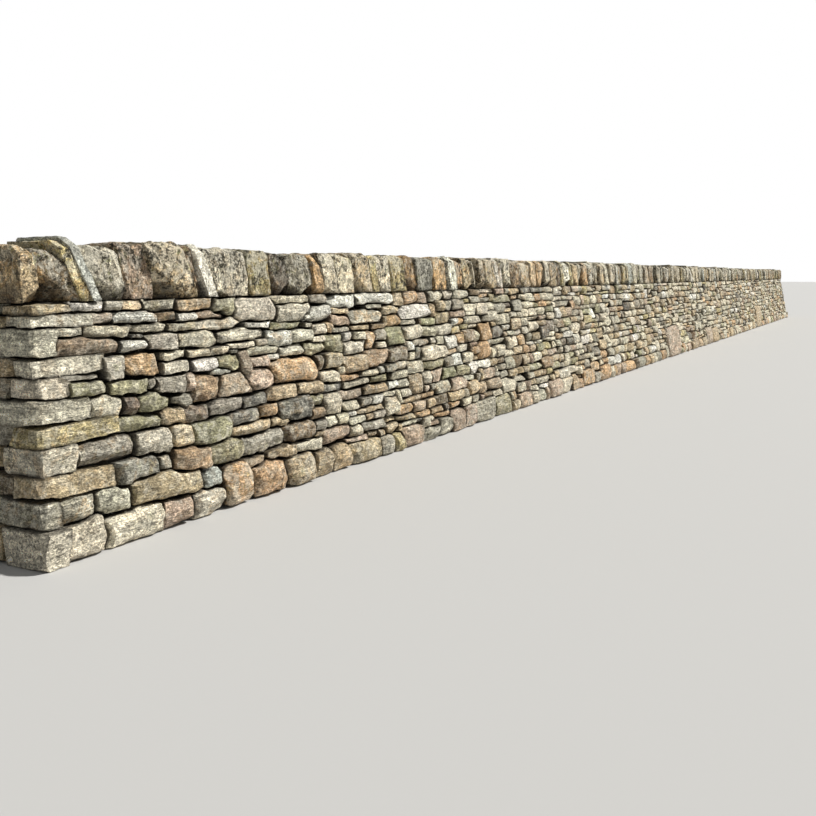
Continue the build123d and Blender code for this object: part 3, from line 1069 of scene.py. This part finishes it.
def cope_solids(bay):
    for index, solid in enumerate(loose_solids(nodes[f"cope_{bay}"])):
        if bay == 1 and index == SPLIT_SLAB:
            yield from halves(*solid)
        else:
            yield solid


def slab_frame(corners):
    """A slab's centre, how much it leans along the wall, and its half sizes when upright."""
    low, high = corners.min(0), corners.max(0)
    upper = corners[:, 2] > (low[2] + high[2]) / 2
    top, foot = corners[upper].mean(0), corners[~upper].mean(0)
    lean = (top[0] - foot[0]) / (top[2] - foot[2])
    centre = foot + (top - foot) * 0.5
    centre[2] = (low[2] + high[2]) / 2
    centre[0] = foot[0] + lean * (centre[2] - foot[2])
    local = corners - centre
    local[:, 0] -= lean * local[:, 2]
    return centre, lean, np.abs(local).max(0)


def slab_chops(rng, half, thin, known, proud, sunk, hollow, groove):
    """Where a cope slab is broken, and how far the more sunk of its two fronts stands back."""
    chops, recesses = [], []
    thick = not thin
    draw = rng.uniform
    for side in (-1, 1):
        recess = draw(0.016, 0.046) if sunk else draw(0.002, 0.020)
        recesses.append(recess * (not proud))
        chops.append(((0, side, 0), recesses[-1]))
        turn = draw(-0.3, 0.6) * (0.4 if thin else 1)
        chops.append(((turn, side, draw(-0.15, 0.20)), half[0] * draw(0.1, 0.5) * abs(turn)))
        way = (draw(-0.4, 0.4), side, draw(0.6, 2.2))
        chops.append((way, draw(-0.02, 0.02) * thick))
        way = (draw(-0.8, 0.8), side, -draw(0.7, 1.5))
        foot = draw(0.035, 0.070) if rng.random() < 0.5 else draw(0.0, 0.02)
        chops.append((way, foot * (0.2 if thin else 1.0)))
        way = (draw(-1.1, 1.1), side, draw(-0.5, 0.5))
        chops.append((way, thick * draw(0.015, 0.055) * (rng.random() < 0.6)))
        if hollow:
            chops.append(((-0.5, side, -0.7), hollow))
        # grooves where the fronts of neighbours meet
        for flank in (-1, 1):
            way = (flank, side * draw(0.35, 0.9), draw(-0.06, 0.06))
            chops.append((way, groove * draw(0.2, 1.0) * thick))
    flank = min(half[0], 0.09)
    chops.append(((1, 0, draw(0.6, 2.0)), flank * draw(-0.1, 0.15 if thin else 0.55)))
    chops.append(((-1, 0, draw(0.5, 2.2)), flank * draw(-0.5, 0.08 if thin else 0.3)))
    crest = (draw(-0.5, 0.9), draw(-0.3, 0.3), 1)
    chops.append((crest, draw(-0.03, 0.055) * (not known)))
    for _ in range(8):
        way = rng.normal(size=3) * (1.0, 1.0, 0.6)
        chops.append((way, min(half.min(), 0.09) * draw(0.02, 0.12 if thin else 0.20)))
    return chops, max(recesses)


def slab_slices(rng, half, step):
    """Slices of a slab, two in three of them left out behind its front."""
    slices = [slices_of(rng, h, step) for h in half]
    behind = slices[1] > -0.4 * half[1]
    behind[np.cumsum(behind) % 3 == 0] = False
    slices[1] = slices[1][~behind]
    return slices


def slab_painted_shade(points, verts, half, recess, s):
    """How much painted shade darkens each point of a slab."""
    # painted shade along the foot of the slab
    foot = np.clip((COPE_Z + 0.025 - verts[:, 2]) / 0.025, 0, 1) * 0.6
    # painted shade in what is hollowed out above the foot
    inside = np.clip((half[1] * 0.97 - np.abs(points[:, 1]) - recess) / 0.03, 0, 1)
    inside = 0.75 * inside * (verts[:, 2] < COPE_Z + 0.10)
    # painted shade along the edges where slabs meet
    meeting = np.clip((np.abs(points[:, 0]) - half[0]) / 0.02 + 1, 0, 1)
    meeting = (0.55 if s > 5.3 else 0.0 if half[0] < THIN else 0.30) * meeting
    return np.maximum(np.maximum(foot, inside), meeting)


def lay_slab(heap, rng, count, normals, offsets, corners):
    """Breaks one slab of the cope out of its plain solid."""
    centre, lean, half = slab_frame(corners)
    s, thin, known = centre[0] - NEAR_X, half[0] < THIN, count < len(NEAR_COPE)
    reach = offsets - normals @ centre
    # the slabs touch inside the wall, where the plain solids leave a joint
    flank = np.abs(normals[:, 0]) > 0.7
    reach = np.maximum(reach + flank * rng.uniform(-0.001, 0.004, len(reach)), 0.008)
    # crisper shoulders and crests than the plain solid has
    reach = reach + (normals[:, 2] > 0.3) * rng.uniform(0.014, 0.036, len(reach))
    upright = normals + np.outer(normals[:, 0] * lean, (0, 0, 1))
    tone_name = NEAR_COPE[count][0] if known else pick_tones(rng, "cope", 1)[0]
    sunk, proud = tone_name in SUNK_TONES or rng.random() < 0.12, tone_name in PROUD_TONES
    hollow = rng.uniform(0.03, 0.065) * (rng.random() < 0.35) * (not known)
    hollow = max(hollow, NEAR_HOLLOWS.get(count, 0.0))
    groove = 0.012 if s < 5.3 else 0.020
    chops, recess = slab_chops(rng, half, thin, known, proud, sunk, hollow, groove)
    slices = slab_slices(rng, half, cell_at(COPE_CELLS, s))
    points, out, tris = chisel(half, list(zip(upright, reach)), chops, slices, 1)
    amount = min(1.0, 0.4 + half.min() / 0.09)
    verts, shift = roughen(points, out, rng, 300 + count, amount, 0.008)
    # a jagged crest
    high_up = np.clip((points[:, 2] / half[2] - 0.35) / 0.5, 0, 1)
    jags = 0.5 + 0.5 * noise((points + shift) * (26, 11, 3), 900 + count, True)
    verts[:, 2] -= (0.012 if thin else 0.026) * jags * high_up
    verts[:, 0] += lean * verts[:, 2]
    verts += centre
    verts[:, 0] = np.clip(verts[:, 0], cad_low.x, cad_high.x)
    verts[:, 2] = np.clip(verts[:, 2], COPE_Z + INSIDE, cad_high.z)
    tone, trait = looks(rng, [tone_name], 0.7)
    # painted light and shade by how far in a slab stands
    tone = tone * (SUNK_PAINTED_SHADE if sunk else CLEAR_PAINTED_LIGHT)
    # painted shade: slabs farther off are darker
    if s > 5.3:
        tone = tone * (0.94 if s < 10.6 else 0.80)
    if known:
        trait[0, :2] = NEAR_COPE[count][1:]
    depth = slab_painted_shade(points, verts, half, recess, s)
    heap.add(verts[None], NO_QUADS, tris, tone, shift[None], trait, depth[None])


def build_cope():
    rng = np.random.default_rng(71)
    count = 0
    for bay in range(1, BAYS + 1):
        heap = Heap()
        for solid in cope_solids(bay):
            lay_slab(heap, rng, count, *solid)
            count += 1
        dress(heap.build(f"cope_stones_{bay}"), "cope_stone", COPE_MATERIAL, f"cope_{bay}")


# The ends

# The near end, course by course: up from, to, where its stones split across the wall (0 front, 1 back),
# how far each runs along the wall, and their tones
END_COURSES = [
    (0.19, 0.328, (0.45,), (0.11, 0.30), "grey pale"),
    (0.328, 0.448, (0.34, 0.70), (0.49, 0.20, 0.26), "tan brown grey"),
    (0.448, 0.588, (0.52,), (0.245, 0.46), "cream tan"),
    (0.588, 0.70, (0.38, 0.68), (0.56, 0.22, 0.24), "yellow grey green"),
    (0.70, 0.828, (0.62,), (0.37, 0.44), "pale purple"),
    (0.828, 0.942, (0.42,), (0.235, 0.22), "cream grey"),
    (0.942, 1.042, (0.36, 0.66), (0.49, 0.2, 0.42), "pale tan grey"),
    (1.042, 1.197, (0.64,), (0.18, 0.21), "pale slate"),
    (1.197, 1.265, (0.5,), (0.43, 0.38), "pale tan"),
    (1.265, 1.33, (0.56,), (0.31, 0.24), "tan grey"),
]
# the footing stones across an end: where they split, from -1 to 1, and their tones
FOOT_SPLITS, FOOT_TONES = (-1.0, -0.2, 0.45, 1.0), ("pale", "tan", "grey")
END_JOINT = 0.004
BOX_SIDES = np.concatenate([np.eye(3), -np.eye(3)])
NEAR_SLICE, FAR_SLICE, CORE_SLICE = 0.012, 0.05, 0.1


def end_blocks(sign):
    """Reach, q0, q1, z0, z1 and tone of each block of one end; q runs from -1 in front to 1 at the back."""
    blocks = []
    for z0, z1, splits, reach, tones in END_COURSES:
        edges = [-1.0] + [2 * x - 1 for x in splits] + [1.0]
        tones = tones.split()
        if sign < 0:
            edges, reach, tones = [-e for e in reversed(edges)], reach[::-1], tones[::-1]
        blocks += [(*block, z0, z1, tone) for *block, tone in zip(reach, edges, edges[1:], tones)]
    return blocks


def corner_stones(side):
    """Where the blocks of both ends show in one face."""
    found = []
    for sign in (1, -1):
        for reach, q0, q1, z0, z1, _ in end_blocks(sign):
            if (q0 == -1) if side == "front" else (q1 == 1):
                along = (0.0, reach) if sign > 0 else (RUN - reach, RUN)
                found.append((*along, z0, z1, "grey"))
    return found


def end_boxes(sign, rng):
    """Lower and upper corners, roughness, tone and kind of each block of an end."""
    for reach, q0, q1, z0, z1, tone_name in end_blocks(sign):
        mid = half_width((z0 + z1) / 2)
        low = (rng.uniform(-0.016, 0.018), q0 * mid + END_JOINT * (q0 > -1), z0 + 0.002)
        high = (reach - 0.007, q1 * mid - END_JOINT * (q1 < 1), z1 - 0.003)
        yield low, high, 1.0, tone_name, "quoin"
    # rubble behind them
    wide = half_width((BED_Z + COPE_Z) / 2) - 0.07
    yield (0.075, -wide, BED_Z), (0.60, wide, COPE_Z), 0.8, "brown", "core"
    # footing stones across the end
    wide = -cad_low.y - 0.01
    for i, tone_name in enumerate(FOOT_TONES):
        low = (-0.036, FOOT_SPLITS[i] * wide + END_JOINT, 0.0)
        high = (0.12 + 0.06 * i, FOOT_SPLITS[i + 1] * wide - END_JOINT, BED_Z - END_JOINT)
        yield low, high, 0.7, tone_name, "foot"


def block_chops(rng, half):
    """Where an end block is broken: its two outer corners, and all round."""
    chops = []
    for side in (-1, 1):
        chops.append(((-1, side, rng.uniform(-0.4, 0.4)), rng.uniform(0.003, 0.030)))
    for _ in range(12):
        way = rng.normal(size=3)
        way[rng.integers(0, 3)] *= 0.25
        chops.append((way / (half / half.mean()), half.min() * rng.uniform(0.03, 0.26)))
    return chops


def lay_block(heap, rng, sign, seed, low, high, rough, tone_name, kind):
    """Cuts one block of an end. The far end is laid as if it were near, and turned about here."""
    core, foot = kind == "core", kind == "foot"
    low, high = np.array(low), np.array(high)
    centre, half = (low + high) / 2, (high - low) / 2
    # each side of a block is a little out of square, its beds the least
    skew = np.where(np.abs(BOX_SIDES[:, 2:]) > 0.5, 0.012, 0.05)
    planes = BOX_SIDES + rng.normal(0, 1, (6, 3)) * skew * (BOX_SIDES == 0)
    chops = [] if core else block_chops(rng, half)
    step = CORE_SLICE if core else NEAR_SLICE if sign > 0 else FAR_SLICE
    slices = [slices_of(rng, h, step) for h in half]
    reach = np.concatenate([half, half]) - 0.001
    points, out, tris = chisel(half * 1.1, list(zip(planes, reach)), chops, slices, 1 if foot else 2)
    verts, shift = roughen(points, out, rng, seed + len(heap.parts), rough)
    verts += centre
    verts[:, 2] = np.clip(verts[:, 2], INSIDE, BED_Z if foot else COPE_Z)
    if not foot:
        verts[:, 1] *= half_width(verts[:, 2]) / half_width(centre[2])
        verts[:, 0] += END_BATTER * (verts[:, 2] - BED_Z)
    verts[:, 0] = np.maximum(verts[:, 0], cad_low.x - NEAR_X + INSIDE)
    verts[:, 1] = np.clip(verts[:, 1], cad_low.y + INSIDE, cad_high.y - INSIDE)
    verts[:, 0] = NEAR_X + verts[:, 0] if sign > 0 else NEAR_X + RUN - verts[:, 0]
    tone, trait = looks(rng, [tone_name], 0.3)
    # painted shade: its beds and its inner end are darkened, and all of the core, whose tone is also cut to
    # 0.3
    seam = np.maximum(np.abs(points[:, 2]) - half[2], points[:, 0] - half[0]) / 0.009 + 1
    depth = np.full(len(verts), 1.0) if core else 0.8 * np.clip(seam, 0, 1)
    tone = tone * 0.3 if core else tone
    tris = tris if sign > 0 else tris[:, ::-1]
    heap.add(verts[None], NO_QUADS, tris, tone, shift[None], trait, depth[None])


def build_end(which, seed):
    rng = np.random.default_rng(seed)
    sign = 1 if which == "near" else -1
    heap = Heap()
    for box in end_boxes(sign, rng):
        lay_block(heap, rng, sign, seed, *box)
    piece = heap.build(f"{which}_end_stones")
    dress(piece, "quoin_stone", WALL_MATERIAL, f"{which}_end_headers", f"{which}_end_stretchers")


# Materials

SKIN, STAIN, MOSS = linear(207, 202, 185), linear(184, 147, 96), linear(150, 150, 108)
CRUST, SPOTS, BLACK_CRUST = linear(228, 224, 208), linear(60, 57, 48), linear(46, 44, 36)
# JOINT_SHADE is the colour of painted shade in joints and hollows
JOINT_SHADE, HEARTING_SHADED_TONE = linear(36, 31, 25), linear(84, 74, 62)
# the mottling of a stone: scale, detail, roughness and distortion, then from, to, darkest and lightest
MOTTLES = {
    "broad": ((6.5, 3.0, 0.55, 0.6), (0.34, 0.66, 0.84, 1.18)),
    "patch": ((14.0, 5.0, 0.62, 0.5), (0.40, 0.60, 0.84, 1.19)),
    "middle": ((38.0, 5.0, 0.70, 0.3), (0.40, 0.60, 0.78, 1.28)),
    "fine": ((105.0, 3.0, 0.66, 0.0), (0.40, 0.60, 0.68, 1.40)),
    "grain": ((230.0, 2.0, 0.6, 0.0), (0.35, 0.65, 0.80, 1.26)),
}
STONE_GLOSS = 0.22
BUMP_STRENGTH, BUMP_DISTANCE = 0.95, 0.020
# heights on the cope between which lichen sets in
CREST = (1.40, 1.62)


class Graph:
    """Small helper for node trees."""

    def __init__(self, tree):
        self.tree = tree
        self.count = 0

    def node(self, kind, **props):
        n = self.tree.nodes.new(kind)
        self.count += 1
        n.location = (-200 * (self.count % 9) - 300, -220 * (self.count // 9))
        for key, value in props.items():
            setattr(n, key, value)
        return n

    def put(self, socket, value):
        if isinstance(value, bpy.types.NodeSocket):
            self.tree.links.new(value, socket)
        elif value is not None:
            socket.default_value = value

    def feed(self, n, *values, **named):
        """Puts values into the first sockets of a node and into named ones, with _ for a blank."""
        for socket, value in zip(n.inputs, values):
            self.put(socket, value)
        for key, value in named.items():
            self.put(n.inputs[key.replace("_", " ")], value)
        return n

    def math(self, op, *values, clamp=False):
        return self.feed(self.node("ShaderNodeMath", operation=op, use_clamp=clamp), *values).outputs[0]

    def plus(self, a, b):
        return self.math("ADD", a, b)

    def times(self, first, *others, clamp=False):
        for value in others:
            first = self.math("MULTIPLY", first, value, clamp=clamp)
        return first

    def vec(self, op, *values, **named):
        return self.feed(self.node("ShaderNodeVectorMath", operation=op), *values, **named).outputs[0]

    def scaled(self, a, scale):
        return self.vec("SCALE", a, Scale=scale)

    def split(self, vector):
        return self.feed(self.node("ShaderNodeSeparateXYZ"), vector).outputs

    def noise(self, at, scale, detail, rough, distortion=0.0):
        n = self.node("ShaderNodeTexNoise")
        self.feed(n, Vector=at, Scale=scale, Detail=detail, Roughness=rough, Distortion=distortion)
        return n.outputs["Fac"]

    def voronoi(self, at, scale):
        n = self.node("ShaderNodeTexVoronoi", feature="F1", distance="CHEBYCHEV")
        return self.feed(n, Vector=at, Scale=scale).outputs["Distance"]

    def ramp(self, value, low, high, out_low=0.0, out_high=1.0):
        n = self.node("ShaderNodeMapRange", clamp=True, interpolation_type="SMOOTHSTEP")
        self.feed(n, Value=value, From_Min=low, From_Max=high, To_Min=out_low, To_Max=out_high)
        return n.outputs["Result"]

    def mix(self, fac, a, b):
        n = self.node("ShaderNodeMix", data_type="RGBA", blend_type="MIX")
        return self.feed(n, Factor=fac, A=a, B=b).outputs["Result"]

    def attribute(self, name, out="Vector"):
        return self.node("ShaderNodeAttribute", attribute_name=name).outputs[out]

    def background(self, colour, strength):
        return self.feed(self.node("ShaderNodeBackground"), colour, strength).outputs[0]


def rgba(c):
    return (float(c[0]), float(c[1]), float(c[2]), 1.0)


def new_material(name):
    """A material, the graph that builds it and its shader."""
    mat = bpy.data.materials.new(name)
    mat.use_nodes = True
    return mat, Graph(mat.node_tree), mat.node_tree.nodes["Principled BSDF"]


def traits(g, where, plain_tone):
    """Tone, place in the noise, lichen, iron, bedding and depth (painted shade) of each stone, or of a
    plain one.
    """
    if plain_tone is not None:
        return tuple(plain_tone), where, 0.2, 0.3, 0.4, 0.0
    at = g.vec("ADD", where, g.attribute("shift"))
    return g.attribute("tone", "Color"), at, *g.split(g.attribute("trait")), g.attribute("depth", "Fac")


def patches(g, colour, look, low, high, strength, tint):
    """Lays a tint over a stone in patches."""
    shown = g.times(g.ramp(g.noise(*look), low, high), strength, clamp=True)
    return g.mix(shown, colour, tint)


def spotted(g, colour, spots, dark, *strength):
    """Lays a dark colour over a stone in spots."""
    return g.mix(g.times(spots, *strength), colour, rgba(dark))


def stone_height(g, drawn, middle, fine, layers, bedded):
    """The rough surface of a stone, as height for bump."""
    height = g.plus(g.times(g.ramp(middle, 0.36, 0.64), 0.42), g.times(g.voronoi(drawn, 30.0), 0.55))
    height = g.plus(height, g.times(g.ramp(layers, 0.38, 0.62), g.times(bedded, 0.42)))
    height = g.plus(height, g.times(g.voronoi(drawn, 74.0), 0.26))
    return g.plus(height, g.times(fine, 0.42))


def stone_material(
    name, lichen_gain, dark_gain, green_gain, iron_gain, layer_scale, grain_scale,
    plain_tone=None, crest=None, dark_edge=0.53,
):
    """Weathered field stone: mottling, bedding, iron stain, pale and dark lichen, a rough face, and painted
    shade where depth is set.
    """
    mat, g, shader = new_material(name)
    where = g.node("ShaderNodeTexCoord").outputs["Object"]
    tone, at, lichen, iron, bedded, deep = traits(g, where, plain_tone)
    crusted = g.ramp(lichen, 0.0, 0.35, 0.2, 1.0)
    if crest:
        lichen = g.plus(lichen, g.ramp(g.split(where)["Z"], *crest, -0.25, 0.45))
    drawn = g.vec("MULTIPLY", at, grain_scale)
    mottles = {key: g.noise(at if key == "broad" else drawn, *look) for key, (look, _) in MOTTLES.items()}
    middle, fine = mottles["middle"], mottles["fine"]
    layers = g.noise(g.vec("MULTIPLY", at, layer_scale), 1.0, 4.0, 0.66, 0.5)
    streak = g.math("SUBTRACT", g.ramp(layers, 0.40, 0.60, 0.74, 1.26), 1.0)
    shades = [g.ramp(mottles[key], *levels) for key, (_, levels) in MOTTLES.items()]
    value = g.times(*shades, g.plus(g.times(streak, bedded), 1.0))
    colour = g.scaled(tone, value)
    # the weathered skin that all the stones share, then iron stain and moss
    weathered = g.math("MULTIPLY_ADD", lichen, 0.5 if crest else 0.42, 0.18)
    for look, low, high, strength, tint in (
        ((at, 9.5, 6.0, 0.70, 0.6), 0.49, 0.56, weathered, SKIN),
        ((at, 11.0, 5.0, 0.66, 0.8), 0.50, 0.60, g.times(iron, iron_gain), STAIN),
        ((at, 14.0, 5.0, 0.68, 0.5), 0.55, 0.63, g.times(lichen, green_gain), MOSS),
    ):
        colour = patches(g, colour, look, low, high, strength, g.scaled(tuple(tint), value))
    # a pale crust of lichen
    edge = g.math("SUBTRACT", 0.62, g.times(lichen, 0.14))
    crust = g.ramp(g.noise(at, 17.0, 6.0, 0.76, 0.3), edge, g.plus(edge, 0.035))
    pale = g.scaled(g.mix(0.4, rgba(CRUST), g.scaled(tone, 1.35)), g.ramp(fine, 0.38, 0.62, 0.84, 1.06))
    colour = g.mix(g.times(crust, lichen_gain), colour, pale)
    # dark spots, on the cope also a black crust in clusters, and painted shade in the joints and hollows
    spots = g.ramp(g.noise(drawn, 40.0, 5.0, 0.78, 0.2), dark_edge, dark_edge + 0.045)
    cluster = g.ramp(g.noise(at, 8.0, 4.0, 0.66, 0.7), 0.44, 0.56)
    colour = spotted(g, colour, spots, SPOTS, cluster, crusted, dark_gain)
    if crest:
        black = g.ramp(g.noise(at, 30.0, 6.0, 0.80, 0.2), 0.50, 0.54)
        cluster = g.ramp(g.noise(at, 6.0, 4.0, 0.62, 0.6), 0.51, 0.57)
        colour = spotted(g, colour, black, BLACK_CRUST, cluster, crusted, 0.92)
    colour = spotted(g, colour, deep, JOINT_SHADE, 0.9)
    bump = g.node("ShaderNodeBump")
    height = stone_height(g, drawn, middle, fine, layers, bedded)
    g.feed(bump, Strength=BUMP_STRENGTH, Distance=BUMP_DISTANCE, Height=height)
    g.feed(shader, Base_Color=colour, Roughness=g.ramp(middle, 0.3, 0.7, 0.82, 0.97))
    g.feed(shader, Specular_IOR_Level=STONE_GLOSS, Normal=bump.outputs["Normal"])
    return mat


WALL_MATERIAL = stone_material(
    "laid_stone", lichen_gain=0.70, dark_gain=0.70, green_gain=0.4, iron_gain=0.5,
    layer_scale=(2.4, 2.4, 42.0), grain_scale=(0.55, 0.8, 1.0),
)
COPE_MATERIAL = stone_material(
    "cope_stone", lichen_gain=0.85, dark_gain=0.92, green_gain=0.8, iron_gain=0.9,
    layer_scale=(34.0, 3.0, 9.0), grain_scale=(0.75, 0.8, 0.9), crest=CREST, dark_edge=0.505,
)
# the hearting's tone, darker than any wall stone, is partly its own colour and partly painted shade
HEARTING_MATERIAL = stone_material(
    "hearting_stone", lichen_gain=0.2, dark_gain=0.6, green_gain=0.2, iron_gain=0.3,
    layer_scale=(3.0, 3.0, 20.0), grain_scale=(1.0, 1.0, 1.0), plain_tone=HEARTING_SHADED_TONE,
)


def dress(piece, slot, material, *replaced):
    piece.data.materials.append(material)
    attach(piece, "root")
    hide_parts(*replaced)


# Building the wall

heaps = {}
build_face(heaps, "front", 11, NEAR_STONES + corner_stones("front"), FRONT_CELLS)
build_face(heaps, "back", 23, corner_stones("back"), BACK_CELLS)
for name in sorted(heaps):
    kind, _, bay = name.split("_")
    piece = heaps[name].build(name)
    if kind == "footing":
        dress(piece, "footing_stone", WALL_MATERIAL, f"footing_{bay}")
    else:
        dress(piece, "wall_stone", WALL_MATERIAL, f"{kind}_face_{bay}")
build_end("near", 900)
build_end("far", 1900)
build_cope()

for name, obj in nodes.items():
    if name.startswith("hearting_"):
        obj.data.materials.clear()
        obj.data.materials.append(HEARTING_MATERIAL)

# Floor, lights and world

FLOOR_SIZE, FLOOR_TONE, FLOOR_ROUGHNESS = 400, (0.52, 0.515, 0.50, 1), 0.95
SUN_STRENGTH, SUN_TONE, SUN_DEGREES, SUN_WAY = 4.45, (1.0, 0.985, 0.955), 4.5, (-0.48, 0.50, -0.72)
SKY_TONE, SKY_STRENGTH = (0.93, 0.96, 1.0, 1), 0.22
WHITE, WHITE_STRENGTH = (1, 1, 1, 1), 1.0

bpy.ops.mesh.primitive_plane_add(size=FLOOR_SIZE, location=(0, 0, 0))
floor = bpy.context.object
floor.name = "floor"
floor_material, graph, shader = new_material("floor")
graph.feed(shader, Base_Color=FLOOR_TONE, Roughness=FLOOR_ROUGHNESS)
floor.data.materials.append(floor_material)

lamp = bpy.data.lights.new("key", "SUN")
lamp.energy = SUN_STRENGTH
lamp.angle = math.radians(SUN_DEGREES)
lamp.color = SUN_TONE
aim(add_object("key", lamp), SUN_WAY)

world = bpy.data.worlds.new("world")
bpy.context.scene.world = world
world.use_nodes = True
world.node_tree.nodes.clear()
graph = Graph(world.node_tree)
rays = graph.node("ShaderNodeLightPath").outputs
seen = graph.math("MAXIMUM", rays["Is Camera Ray"], rays["Is Glossy Ray"])
seen = graph.math("MAXIMUM", seen, rays["Is Transmission Ray"])
either = graph.node("ShaderNodeMixShader")
sky, white = graph.background(SKY_TONE, SKY_STRENGTH), graph.background(WHITE, WHITE_STRENGTH)
graph.feed(either, seen, sky, white)
graph.feed(graph.node("ShaderNodeOutputWorld"), either.outputs[0])

bpy.context.scene.view_settings.view_transform = "Standard"
